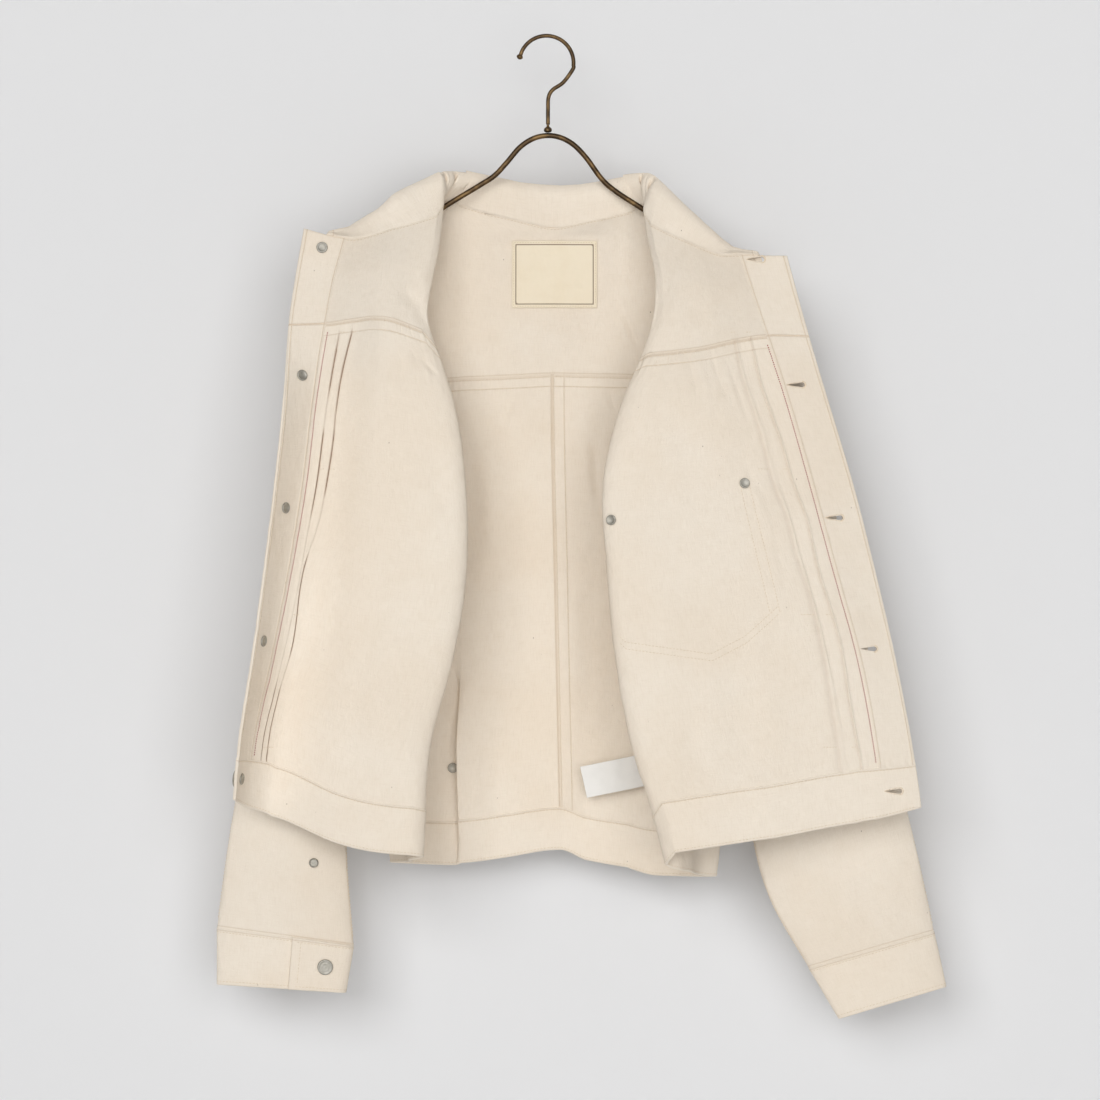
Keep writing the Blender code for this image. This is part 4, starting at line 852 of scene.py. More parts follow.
def cloth_uv(middle):
    """Each grid point's run across and down the cloth, in metres."""
    across = np.linalg.norm(np.diff(middle, axis=0), axis=-1).mean(axis=1)
    down = np.linalg.norm(np.diff(middle, axis=1), axis=-1).mean(axis=0)
    u = np.append(0, np.cumsum(across))[:, None] * MM
    v = np.append(0, np.cumsum(down))[None, :] * MM
    return np.stack(np.broadcast_arrays(u, v), axis=-1)


def replace(made, *nodes):
    """Hides the solids of these nodes, which made repeats, and gives made back."""
    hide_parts(*nodes)
    return made


def steps_between(marks, counts):
    """A grid's columns: each mark is a row of values, and counts says how many even steps lie before the next."""
    spans = [
        a + (b - a) * np.arange(n)[:, None] / n for a, b, n in zip(marks[:-1], marks[1:], counts)
    ]
    return np.vstack([*spans, marks[-1][None, :]])


# ---------------------------------------------------------------- materials


class Socket:
    """A shader socket that takes part in sums: each operation on it adds the Math node that works it out."""

    def __init__(self, tree, link):
        self.tree = tree
        self.link = link

    def made(self, operation, *values):
        return node(self.tree, "ShaderNodeMath", {"operation": operation}, dict(enumerate(values)))

    def __add__(self, other):
        return self.made("ADD", self, other)

    def __sub__(self, other):
        return self.made("SUBTRACT", self, other)

    def __mul__(self, other):
        return self.made("MULTIPLY", self, other)

    def __truediv__(self, other):
        return self.made("DIVIDE", self, other)

    def __pow__(self, other):
        return self.made("POWER", self, other)

    def __rsub__(self, other):
        return self.made("SUBTRACT", other, self)

    def __rtruediv__(self, other):
        return self.made("DIVIDE", other, self)

    __radd__ = __add__
    __rmul__ = __mul__

    def sine(self):
        return self.made("SINE", self)

    def size(self):
        return self.made("ABSOLUTE", self)

    def part(self):
        return self.made("FRACT", self)

    def least(self, other):
        return self.made("MINIMUM", self, other)

    def most(self, other):
        return self.made("MAXIMUM", self, other)

    def step(self, low, high):
        """0 below low, 1 above high, and a smooth rise between."""
        settings = {"interpolation_type": "SMOOTHSTEP"}
        return node(self.tree, "ShaderNodeMapRange", settings, {"Value": self, "From Min": low, "From Max": high})


def node(tree, kind, settings=None, values=None, output=0):
    """One node: its settings first, then its sockets' values or links. Gives the output as a Socket."""
    made = tree.nodes.new(kind)
    for key, value in (settings or {}).items():
        setattr(made, key, value)
    for key, value in (values or {}).items():
        if isinstance(value, Socket):
            tree.links.new(value.link, made.inputs[key])
        else:
            made.inputs[key].default_value = value
    return Socket(tree, made.outputs[output])


def blended(tree, factor, first, second):
    """A mix of two colours, each a Socket or a colour."""
    settings = {"data_type": "RGBA"}
    colours = {6: first, 7: second}
    values = {key: (*value, 1.0) if not isinstance(value, Socket) else value for key, value in colours.items()}
    return node(tree, "ShaderNodeMix", settings, {0: factor, **values}, output=2)


def noise(tree, place, scale, detail=3.0, rough=0.55):
    return node(
        tree, "ShaderNodeTexNoise", {}, {"Vector": place, "Scale": scale, "Detail": detail, "Roughness": rough}
    )


def stretched(tree, place, scale):
    return node(tree, "ShaderNodeVectorMath", {"operation": "MULTIPLY"}, {0: place, 1: scale})


# Each finish by its name, as the solids' own plain materials may have the same names.
FINISHES = {}


def start(name):
    """A new material and its tree, with the object's place as a Socket."""
    made = bpy.data.materials.new(name)
    FINISHES[name] = made
    made.use_nodes = True
    tree = made.node_tree
    tree.nodes.clear()
    place = node(tree, "ShaderNodeTexCoord", output=3)
    return made, tree, place


def finish_with(tree, colour, roughness, bump=None, strength=0.3, distance=0.0005, **plain):
    """Joins the shader up. plain sets sockets that are the same all over."""
    shader = tree.nodes.new("ShaderNodeBsdfPrincipled")
    out = tree.nodes.new("ShaderNodeOutputMaterial")
    tree.links.new(shader.outputs[0], out.inputs["Surface"])
    for key, value in (("Base Color", colour), ("Roughness", roughness)):
        if isinstance(value, Socket):
            tree.links.new(value.link, shader.inputs[key])
        else:
            shader.inputs[key].default_value = (*value, 1.0) if key == "Base Color" else value
    for key, value in plain.items():
        shader.inputs[key.replace("_", " ")].default_value = value
    if bump is not None:
        made = node(tree, "ShaderNodeBump", {}, {"Height": bump, "Strength": strength, "Distance": distance})
        tree.links.new(made.link, shader.inputs["Normal"])
    return Socket(tree, shader.outputs[0])


def attribute(tree, name):
    return node(tree, "ShaderNodeAttribute", {"attribute_name": name}, output=2)


def cloth_finish(name, colour, shade, weave=0.3):
    """Unbleached denim: a fine twill of slanting ribs, uneven warp threads, cloudy tone and dark cotton seeds, a brown
    tint along seams that is part soil and part painted groove shade, and painted shade in the pleats' slits.

    The ribs run across the cloth's own width and length, which its UV map holds in metres."""
    made, tree, place = start(name)
    cloth = node(tree, "ShaderNodeTexCoord", output=2)
    parts = tree.nodes.new("ShaderNodeSeparateXYZ")
    tree.links.new(cloth.link, parts.inputs[0])
    u = Socket(tree, parts.outputs[0])
    v = Socket(tree, parts.outputs[1])
    rib = ((u * 0.62 + v) * (2 * math.pi / TWILL_PITCH)).sine() * 0.5 + 0.5
    warp = noise(tree, stretched(tree, cloth, (1100.0, 90.0, 1.0)), 1.0, 3.0)
    weft = noise(tree, stretched(tree, cloth, (90.0, 1000.0, 1.0)), 1.0, 3.0)
    cloud = noise(tree, place, 9.0, 4.0)
    mottle = noise(tree, place, 55.0, 3.0)
    crumple = noise(tree, place, 150.0, 4.0, 0.6)
    tone = blended(tree, cloud.step(0.36, 0.66), colour, shade)
    tone = blended(tree, (mottle - 0.5).size() * 0.4, tone, (colour[0] * 0.84, colour[1] * 0.78, colour[2] * 0.70))
    tone = blended(tree, (1 - rib) * 0.06 + warp.step(0.42, 0.72) * 0.1 + weft.step(0.46, 0.76) * 0.08, tone, SEED_SHADE)
    cells = node(
        tree, "ShaderNodeTexVoronoi", {"feature": "F1"}, {"Vector": stretched(tree, place, (1.0, 1.0, 0.7)), "Scale": 62.0}
    )
    rare = noise(tree, place, 31.0, 1.0)
    speck = (1 - cells.step(0.014, 0.040)) * rare.step(0.54, 0.60)
    tone = blended(tree, speck * 0.6, tone, SEED_COLOUR)
    # A brown tint along seam and stitch lines: part soil, part painted shade in their grooves.
    seam = attribute(tree, "across").size().least(attribute(tree, "down").size())
    tone = blended(tree, (1 - seam.step(0.1, 0.8)) * 0.3, tone, SEAM_SOIL_AND_SHADE)
    # Painted shade: the pleats' slits coloured dark brown, as the shade inside them.
    tone = blended(tree, attribute(tree, "slit").least(1.0) * 0.9, tone, SLIT_SHADE)
    height = rib * weave + warp * 0.7 + weft * 0.5 + crumple * 1.1 + seam.step(0.0, 1.6) * 0.8
    finish_with(tree, tone, 0.92, height, 0.8, 0.0006, Specular_IOR_Level=0.18, Sheen_Weight=0.12, Sheen_Roughness=0.55)
    return made


TWILL_PITCH = 0.00085
SEED_COLOUR = (0.16, 0.085, 0.035)
SEED_SHADE = (0.64, 0.51, 0.36)
# Brown along seam and stitch grooves: part soil, part painted shade.
SEAM_SOIL_AND_SHADE = (0.52, 0.36, 0.21)
# Painted shade inside the pleats' slits.
SLIT_SHADE = (0.20, 0.075, 0.02)


def thread_finish(name, colour, dark):
    """Cotton thread: its twist as fine slanting stripes, a little fuzzy."""
    made, tree, place = start(name)
    twist = noise(tree, stretched(tree, place, (2500.0, 2500.0, 900.0)), 1.0, 2.0)
    tone = blended(tree, twist.step(0.4, 0.7), colour, dark)
    finish_with(tree, tone, 0.75, twist, 0.4, 0.0001, Specular_IOR_Level=0.25)
    return made


def metal_finish(name, colour, worn, roughness, spread, scale):
    """Dull plated metal: cloudy tone, fine brushing, and brighter where it has rubbed."""
    made, tree, place = start(name)
    cloud = noise(tree, place, scale, 4.0)
    brushed = noise(tree, stretched(tree, place, (900.0, 900.0, 4000.0)), 1.0, 2.0)
    tone = blended(tree, cloud.step(0.42, 0.66), colour, worn)
    rough = cloud * spread + roughness
    finish_with(tree, tone, rough, brushed * 0.5 + cloud, 0.25, 0.0001, Metallic=0.92)
    return made


def tape_finish(name, colour, thread, pitch, sheen):
    """Woven tape: two crossing sets of fine ribs on the object's own place, and a little cloudiness."""
    made, tree, place = start(name)
    parts = tree.nodes.new("ShaderNodeSeparateXYZ")
    tree.links.new(place.link, parts.inputs[0])
    x = Socket(tree, parts.outputs[0])
    z = Socket(tree, parts.outputs[2])
    ribs = (x * (2 * math.pi / pitch)).sine() * 0.5 + (z * (2 * math.pi / pitch)).sine() * 0.5
    cloud = noise(tree, place, 40.0, 4.0)
    tone = blended(tree, (ribs * 0.25 + 0.25) * 0.5 + cloud.step(0.4, 0.7) * 0.3, colour, thread)
    tone = blended(tree, (1 - attribute(tree, "across").size().step(0.3, 0.7)) * 0.8, tone, LABEL_LINE)
    finish_with(tree, tone, 0.6, ribs * 0.5 + cloud, 0.3, 0.0003, Specular_IOR_Level=0.3, Sheen_Weight=sheen)
    return made


LABEL_LINE = (0.16, 0.10, 0.06)


def paint_finish(name, colour):
    """Matt wall paint, with a very faint roller texture. The wall's other side is clear, so the jacket's back shows."""
    made, tree, place = start(name)
    roller = noise(tree, place, 220.0, 2.0)
    cloud = noise(tree, place, 1.4, 2.0)
    tone = blended(tree, cloud, colour, tuple(value * 0.985 for value in colour))
    paint = finish_with(tree, tone, 0.95, roller, 0.05, 0.0003, Specular_IOR_Level=0.1)
    other_side = node(tree, "ShaderNodeNewGeometry", output=6)
    clear = node(tree, "ShaderNodeBsdfTransparent")
    wall = node(tree, "ShaderNodeMixShader", {}, {0: other_side, 1: paint, 2: clear})
    tree.links.new(wall.link, tree.nodes["Material Output"].inputs["Surface"])
    return made


# ---------------------------------------------------------------- body pieces


# How pieces join: flush ones run this far past their seam and dip there, and thinner ones are turned into
# thicker ones. The sleeve meets the armhole's edge.
MEET = 0.2
SEAM_ROUND = 0.35
TURNED_IN = 1.6
ARMHOLE_MEET = 0.2


def zigzag(value, lines):
    """The distance to the nearest line, its sign turning over at each, so that it passes through 0 only on a line."""
    value = np.asarray(value, float)
    lines = np.asarray(lines, float)
    far = np.abs(value[..., None] - lines).min(axis=-1)
    return far * (1 - 2 * (np.searchsorted(lines, value) % 2))


def mirrored(stations):
    return LAST - np.asarray(stations)[::-1]


def in_stations(station, drop, length):
    """A length round the body, in stations."""
    step = body(station + 0.1, drop) - body(station - 0.1, drop)
    return 0.2 * length / np.linalg.norm(step, axis=-1)


def trim_placket(station, drop):
    """Takes a placket a little past its seam, over the front's edge."""
    half = np.where(station < CENTRE, station, LAST - station)
    moved = np.where(half >= SELVEDGE - 1e-6, half + in_stations(station, drop, MEET), half)
    return np.where(station < CENTRE, moved, LAST - moved)


def trim_front(station, drop):
    """Runs a front piece into its placket, a little past its side seam, and to the armhole's edge."""
    half = np.where(station < CENTRE, station, LAST - station)
    end = SIDE - np.maximum(armhole(station, drop, ARMHOLE_MEET), -in_stations(station, drop, MEET))
    start = SELVEDGE - in_stations(station, drop, TURNED_IN)
    near_side = half > FOLD_OUT
    moved = np.where(near_side, FOLD_OUT + (half - FOLD_OUT) / (SIDE - FOLD_OUT) * (end - FOLD_OUT), half)
    moved = np.where(half <= SELVEDGE, start, moved)
    return np.where(station < CENTRE, moved, LAST - moved)


def trim_back(station, drop):
    """Runs a back piece a little past its side seam, and to the armhole's edge."""
    half = np.where(station <= CENTRE, station, LAST - station)
    start = SIDE + np.maximum(armhole(station, drop, ARMHOLE_MEET), -in_stations(station, drop, MEET))
    moved = np.where(half < TUCK_OUT, start + (half - SIDE) / (TUCK_OUT - SIDE) * (TUCK_OUT - start), half)
    return np.where(station <= CENTRE, moved, LAST - moved)


def trim_panel(station, drop):
    """A back panel's trim, which also takes it a little past the centre-back seam."""
    moved = trim_back(station, drop)
    past = in_stations(station, drop, MEET)
    return np.where(np.abs(moved - CENTRE) < 1e-6, moved - np.sign(station.mean() - CENTRE) * past, moved)


def across_yoke(station, drop):
    return zigzag(drop - yoke_line(station), (-0.6, 1.8))


def across_panel(station, drop):
    return zigzag(drop - yoke_line(station), (0.4, 2.6, 11.2))


def no_line(station, drop):
    return np.full(np.shape(station), 9.0)


def down_centre(station, drop):
    """The centre-back seam and its second row, which lies to the right of it."""
    run = (body(station, drop)[..., 0] - body(np.full(np.shape(station), float(CENTRE)), drop)[..., 0])
    return zigzag(run, (0.0, 2.2, 11.5))


def body_shell(name, marks, counts, top, bottom, rows, thickness, side="left", lift=0.0, pleated=False, trim=None,
               across=no_line, down=no_line, round_off=SEAM_ROUND, past=(MEET, MEET)):  # fmt: skip
    """A cut piece of the body: a fine grid of the body's surface between two seam lines, made into a wall.

    past is how far it runs beyond its upper and its lower line, in millimetres."""
    share = np.linspace(0, 1, rows)
    lines = []
    for mark in marks:
        line = np.full(rows, float(mark if np.isscalar(mark) else SELVEDGE + 0.5))
        for _ in range(0 if np.isscalar(mark) else 3):
            at = line if side == "left" else LAST - line
            drops = top(at) + (bottom(at) - top(at)) * share
            line = np.interp(drops, PLEAT_DROPS, PLEATS_AT[side][mark[0]]) + mark[1]
        lines.append(line)
    station = steps_between(lines, counts)
    if side == "right":
        station = LAST - station
    drop = top(station) + (bottom(station) - top(station)) * share[None, :]
    drop[:, 0] -= past[0]
    drop[:, -1] += past[1]
    if trim is not None:
        station = trim(station, drop)
    middle, normal, dark = dressed(station, drop, lift, pleated)
    half = normal * thickness / 2
    # slit carries the painted shade of the pleats' slits into the cloth's colour
    values = {"across": across(station, drop), "down": down(station, drop), "slit": dark}
    return shell(name, middle - half, middle + half, "ecru_denim", round_off, values, cloth_uv(middle))


def front_marks():
    slit = SLIT_HALF
    marks = [SELVEDGE]
    for number in (0, 1):
        marks += [(number, -slit), (number, 0.0), (number, slit), (number, 2.4 * slit)]
    marks += [FRONT, FOLD_IN, FOLD_OUT, INNER, SIDE_FRONT, SIDE]
    return marks, (9, 2, 2, 2, 7, 2, 2, 2, 22, 34, 18, 12, 10, 10)


def make_fronts():
    marks, counts = front_marks()
    for side in ("left", "right"):
        yoke_marks = (SELVEDGE, PLEATS, FRONT, FOLD_IN, FOLD_OUT, INNER, SIDE_FRONT, SIDE)
        made = body_shell(
            f"front_yoke_cloth_{side}", yoke_marks, (12, 13, 20, 30, 14, 10, 9), collar_line, yoke_line, 58, PANEL,
            side, trim=trim_front, across=across_yoke, past=(-0.1, MEET),
        )  # fmt: skip
        replace(made, f"front_yoke_{side}")
        made = body_shell(
            f"front_panel_cloth_{side}", marks, counts, yoke_line, waist_line, 164, PANEL, side,
            pleated=True, trim=trim_front, across=across_panel, past=(MEET, TURNED_IN),
        )  # fmt: skip
        replace(made, f"front_panel_{side}")


def placket_down(station, drop):
    half = np.where(station < CENTRE, station, LAST - station)
    return zigzag(half, (0.09, 0.94)) * 36


def make_plackets():
    for side in ("left", "right"):
        for part, top, bottom, rows, past, solver in PLACKET_PARTS:
            made = body_shell(
                f"{part}_cloth_{side}", (EDGE, SELVEDGE), (22,), top, bottom, rows, PLACKET, side,
                trim=trim_placket, down=placket_down, across=across_placket, round_off=0.7, past=past,
            )  # fmt: skip
            replace(made, f"{part}_{side}")
            if side == "right":
                at = np.array([29.5])
                cut_holes(made, [hole for hole in BUTTONHOLES if top(at)[0] < hole[1] < bottom(at)[0]], solver)


def across_placket(station, drop):
    return zigzag(drop - yoke_line(station), (0.5,))


PLACKET_PARTS = (
    ("placket_top", collar_line, yoke_line, 52, (-0.15, MEET), "EXACT"),
    ("placket", yoke_line, waist_line, 190, (MEET, TURNED_IN), "FAST"),
)


def make_backs():
    marks = (SIDE, SIDE_BACK, TUCK_OUT, TUCK_FRONT, CENTRE)
    for side in ("left", "right"):
        made = body_shell(
            f"back_panel_cloth_{side}", marks, (9, 10, 36, 34), yoke_line, waist_line, 140, PANEL, side,
            trim=trim_panel, across=across_panel, down=down_centre, past=(MEET, TURNED_IN),
        )  # fmt: skip
        replace(made, f"back_panel_{side}")
    whole = np.concatenate([marks, mirrored(marks)[1:]])
    made = body_shell(
        "back_yoke_cloth", whole, (8, 9, 27, 28, 28, 27, 9, 8), collar_line, yoke_line, 66, PANEL,
        trim=trim_back, across=across_yoke, past=(-0.1, MEET),
    )  # fmt: skip
    replace(made, "back_yoke")


def make_waistband():
    half = (EDGE, SELVEDGE, PLEATS, FRONT, FOLD_IN, FOLD_OUT, INNER, SIDE_FRONT, SIDE, SIDE_BACK, TUCK_OUT, TUCK_FRONT, CENTRE)
    counts = (14, 12, 14, 22, 26, 14, 10, 10, 8, 10, 32, 30)
    marks = np.concatenate([half, mirrored(half)[1:]])

    def edges(station, drop):
        return zigzag(drop - waist_line(station), (2.2,))

    made = body_shell(
        "waistband_cloth", marks, counts + counts[::-1], waist_line, hem_line, 20, WAISTBAND,
        across=edges, round_off=0.8, past=(0.1, -0.15),
    )  # fmt: skip
    replace(made, "waistband")
    cut_holes(made, BUTTONHOLES[-1:], "EXACT")


# Buttonholes: where each one's round end lies, as a station and a drop, and its length and width.
BUTTONHOLES = (
    (29.44, 199.5, 15.0, 4.6),
    (29.47, 312.5, 15.0, 4.2),
    (29.47, 432.0, 15.0, 4.2),
    (29.47, 550.0, 15.0, 4.2),
    (29.47, 678.0, 15.0, 4.4),
)
KEYHOLE_SIDES = 28
CUT_REACH = 4.0


def keyhole(length, width):
    """A buttonhole's outline: a round eye at 0 and a narrow tail that closes at -length."""
    turn = np.linspace(0, 2 * math.pi, KEYHOLE_SIDES, endpoint=False)
    along = np.cos(turn)
    x = np.where(along > 0, along * width * 0.55, along * (length - width * 0.55))
    fall = np.where(along > 0, 1.0, (1 + along * 0.85) ** 0.8)
    return x, np.sin(turn) * width / 2 * fall


def hole_frame(at):
    """A buttonhole's middle, its direction across the placket, its upward one and the cloth's normal."""
    station, drop = np.array([at[0]]), np.array([at[1]])
    middle, normal, _ = dressed(station, drop)
    along = unit(body(station + 0.05, drop) - body(station - 0.05, drop))
    up = np.cross(normal, along)
    return middle[0], along[0], up[0], normal[0]


def cut_holes(piece, holes, solver):
    """Cuts a piece's buttonholes right through its cloth, all at once, with the given solver."""
    ring = np.arange(KEYHOLE_SIDES)
    beside = np.roll(ring, -1)
    sides = np.stack([ring, beside, beside + KEYHOLE_SIDES, ring + KEYHOLE_SIDES], axis=-1)
    points, faces = [], []
    for number, at in enumerate(holes):
        middle, along, up, normal = hole_frame(at)
        x, y = keyhole(at[2], at[3])
        outline = middle + x[:, None] * along + y[:, None] * up
        points += [outline - CUT_REACH * normal, outline + CUT_REACH * normal]
        first = 2 * KEYHOLE_SIDES * number
        faces += [*(sides + first).tolist(), (ring[::-1] + first).tolist(), (ring + KEYHOLE_SIDES + first).tolist()]
    mesh = bpy.data.meshes.new("holes")
    mesh.from_pydata((np.vstack(points) * MM).tolist(), [], faces)
    shape = bmesh.new()
    shape.from_mesh(mesh)
    bmesh.ops.recalc_face_normals(shape, faces=shape.faces)
    shape.to_mesh(mesh)
    shape.free()
    cutter = bpy.data.objects.new("holes", mesh)
    bpy.context.scene.collection.objects.link(cutter)
    cut = piece.modifiers.new("holes", "BOOLEAN")
    cut.operation = "DIFFERENCE"
    cut.solver = solver
    cut.object = cutter
    apply_modifiers(piece)
    bpy.data.objects.remove(cutter, do_unlink=True)
    bpy.data.meshes.remove(mesh)


def apply_modifiers(piece):
    bpy.context.view_layer.update()
    graph = bpy.context.evaluated_depsgraph_get()
    mesh = bpy.data.meshes.new_from_object(piece.evaluated_get(graph))
    old = piece.data
    piece.modifiers.clear()
    piece.data = mesh
    bpy.data.meshes.remove(old)


# ---------------------------------------------------------------- collar


COLLAR_MARKS = (0.0, 0.4, 0.5, 0.6, 0.8, 1.0)


def smooth_rows(knots, values, at):
    """smooth() for many curves at once, each with its own knots."""
    steps = np.diff(knots, axis=1)
    slopes = np.diff(values, axis=1) / steps[..., None]
    inside = (slopes[:, :-1] * steps[:, 1:, None] + slopes[:, 1:] * steps[:, :-1, None]) / (
        steps[:, 1:, None] + steps[:, :-1, None]
    )
    tangents = np.concatenate([slopes[:, :1], inside, slopes[:, -1:]], axis=1)
    span = np.clip((at[..., None] >= knots[:, None, :]).sum(axis=-1) - 1, 0, knots.shape[1] - 2)
    rows = np.arange(len(knots))[:, None]
    length = steps[rows, span][..., None]
    t = (at[..., None] - knots[rows, span][..., None]) / length
    return (
        values[rows, span] * (2 * t**3 - 3 * t**2 + 1)
        + values[rows, span + 1] * (3 * t**2 - 2 * t**3)
        + tangents[rows, span] * length * (t**3 - 2 * t**2 + t)
        + tangents[rows, span + 1] * length * (t**3 - t**2)
    )


def collar(station):
    """The collar's own line at a station: seam, both sides of the roll, and the edge of the fall."""
    at = {
        name: smooth([row[0] for row in COLLAR_TABLE], [row[i] for row in COLLAR_TABLE], station)
        for i, name in enumerate(COLLAR_COLUMNS)
    }
    seam_drop = collar_line(station)
    start = body(station, seam_drop - COLLAR_RISE)
    out = outward(body, station, seam_drop + 1.0)
    roll = placed(at["roll_x"], at["roll_drop"], at["roll_y"])
    fall = placed(at["fall_x"], at["fall_drop"], at["fall_y"])
    rise = unit(start - roll)
    room = np.minimum(2.5, 0.5 * np.linalg.norm(start - roll, axis=-1))[..., None]
    inner = roll + rise * room - out * ROLL_ROUND * room / 2.5
    outer = roll + rise * 2.5 + out * ROLL_ROUND
    middle = (outer + fall) / 2 + out * 0.8
    return np.stack([start, inner, roll, outer, middle, fall], axis=1)


def collar_point(station, across):
    """The middle of the collar's cloth. across runs from 0 at the seam to 1 at the edge of the fall."""
    lines = collar(np.asarray(station, float))
    steps = np.linalg.norm(np.diff(lines, axis=1), axis=2)
    knots = np.hstack([np.zeros((len(lines), 1)), np.cumsum(steps, axis=1)])
    at = np.stack([np.interp(across, COLLAR_MARKS, row) for row in knots])
    return smooth_rows(knots, lines, at)


def grid_normals(grid):
    along = np.gradient(grid, axis=0)
    across = np.gradient(grid, axis=1)
    return unit(np.cross(along, across))


# Soft creases of the collar, in its own run round the neck and across it, both in millimetres.
COLLAR_CREASES = (
    (0, 1, 95, 4, 99, 14, 103, 27, 5.0, -0.35),
    (0, 1, 78, 2, 84, 12, 88, 24, 7.0, 0.35),
    (0, 1, 112, 3, 116, 14, 118, 28, 6.0, 0.3),
    (0, 1, 150, 6, 168, 12, 190, 14, 5.0, -0.9),
    (0, 1, 205, 4, 226, 9, 250, 8, 4.0, 0.7),
    (0, 1, 258, 3, 264, 14, 270, 26, 6.0, -0.4),
    (0, 1, 282, 3, 290, 14, 300, 28, 7.0, 0.5),
    (0, 1, 330, 4, 342, 14, 352, 26, 5.0, -0.7),
    (0, 1, 40, 6, 52, 14, 60, 26, 6.0, -0.8),
)


def collar_surface(station, across):
    """The collar's middle with its relief, its normals, and each point's run round and across it."""
    middle = collar_point(station, across)
    normal = grid_normals(middle)
    run = np.append(0, np.cumsum(np.linalg.norm(np.diff(middle[:, 0], axis=0), axis=-1)))[:, None]
    down = np.cumsum(np.linalg.norm(np.diff(middle, axis=1), axis=-1), axis=1)
    down = np.hstack([np.zeros((len(station), 1)), down])
    run = np.broadcast_to(run, down.shape)
    height = creases(COLLAR_CREASES, np.full(down.shape, 0.5), run, down)
    height = height + 0.35 * waves(run, down, 46.0, 11) + 0.16 * waves(run, down * 2, 17.0, 12)
    height = height + seam_puckers(down, run, 6.0, 0.3, 13) + seam_puckers(down[:, -1:] - down, run, 5.0, 0.2, 14)
    height = height * np.clip(down / 4, 0, 1)
    out = outward(body, np.asarray(station, float), collar_line(station) + 1.0)
    facing = np.where((normal[:, :3] * out[:, None]).sum(axis=(1, 2))[:, None] < 0, -1.0, 1.0)
    return middle - normal * (facing * height)[..., None], normal, run, down


COLLAR_COVER = 0.7


def make_collar():
    stations = np.interp(np.linspace(0, 1, 330), COLLAR_SPREAD[0], COLLAR_SPREAD[1])
    across = np.concatenate([np.linspace(0, 0.4, 11)[:-1], np.linspace(0.4, 0.62, 11)[:-1], np.linspace(0.62, 1, 12)])
    middle, normal, run, down = collar_surface(stations, across)
    cover = collar_line(stations) + COLLAR_COVER
    edge, out, _ = dressed(stations, cover)
    facing = np.sign((out * normal[:, 0]).sum(axis=-1).sum())
    middle = np.concatenate([edge[:, None], middle], axis=1)
    normal = np.concatenate([facing * out[:, None], normal], axis=1)
    run = np.hstack([run[:, :1], run])
    down = np.hstack([down[:, :1] - COLLAR_RISE - COLLAR_COVER, down])
    half = normal * COLLAR / 2
    ends = np.minimum(run, run[-1:] - run)
    values = {
        "across": np.minimum(zigzag(down, (1.2,)), zigzag(down[:, -1:] - down, (5.5,))),
        "down": zigzag(ends, (5.5,)),
        "slit": np.zeros(down.shape),
    }
    made = shell("collar_cloth", middle - half, middle + half, "ecru_denim", 0.6, values, cloth_uv(middle))
    replace(made, "collar")


COLLAR_SPREAD = (
    (0.0, 0.06, 0.24, 0.34, 0.46, 0.5, 0.54, 0.66, 0.76, 0.94, 1.0),
    (COLLAR_START, 1.0, 3.4, 4.6, 10.5, 15.0, 19.5, 25.4, 26.6, 29.0, COLLAR_END),
)


# ---------------------------------------------------------------- sleeves and cuffs


def flat_ring(row, columns, turn):
    """A flattened ring of cloth, turn 0 at its outer edge, its back first."""
    at = dict(zip(columns, row))
    middle_x = (at["outer_x"] + at["inner_x"]) / 2
    middle_drop = (at["outer_drop"] + at["inner_drop"]) / 2
    x = middle_x + (at["outer_x"] - middle_x) * np.cos(turn)
    drop = middle_drop + (at["outer_drop"] - middle_drop) * np.cos(turn)
    return placed(x, drop, at["y"] + at["half_depth"] * np.sin(turn))


def armhole_ring(side, turn):
    """The body's armhole edge, turn 0 at the shoulder's tip, its back first."""
    middle = (ARMHOLE_TOP + ARMHOLE_END) / 2
    drop = middle - (ARMHOLE_END - ARMHOLE_TOP) / 2 * np.cos(turn)
    half = SIDE + ARMHOLE_HALF_STATION * np.sin(turn)
    return body(half if side == "left" else LAST - half, drop)


def sleeve(side, turn, share):
    """The middle of the sleeve's cloth: turn goes round it, in radians, and share runs down it."""
    turn, share = np.broadcast_arrays(np.asarray(turn, float), np.asarray(share, float))
    rows = SLEEVES[side]
    rings = [armhole_ring(side, turn)] + [flat_ring(row[1:], SLEEVE_COLUMNS[1:], turn) for row in rows]
    knots = np.array([0.0] + [row[0] for row in rows])
    rings = np.array(rings)
    span = np.clip(np.searchsorted(knots, share, side="right") - 1, 0, len(knots) - 2)
    steps = np.diff(knots)
    slopes = np.diff(rings, axis=0) / steps.reshape(-1, *[1] * turn.ndim, 1)
    tangents = np.concatenate([slopes[:1], (slopes[:-1] + slopes[1:]) / 2, slopes[-1:]])
    picked = np.indices(turn.shape)
    length = steps[span][..., None]
    t = ((share - knots[span]) / steps[span])[..., None]
    return (
        rings[(span, *picked)] * (2 * t**3 - 3 * t**2 + 1)
        + rings[(span + 1, *picked)] * (3 * t**2 - 2 * t**3)
        + tangents[(span, *picked)] * length * (t**3 - 2 * t**2 + t)
        + tangents[(span + 1, *picked)] * length * (t**3 - t**2)
    )


def surface_normal(surface, a, b, step_a, step_b):
    """The unit normal of any surface of two numbers."""
    along = surface(a + step_a, b) - surface(a - step_a, b)
    across = surface(a, b + step_b) - surface(a, b - step_b)
    return unit(np.cross(along, across))


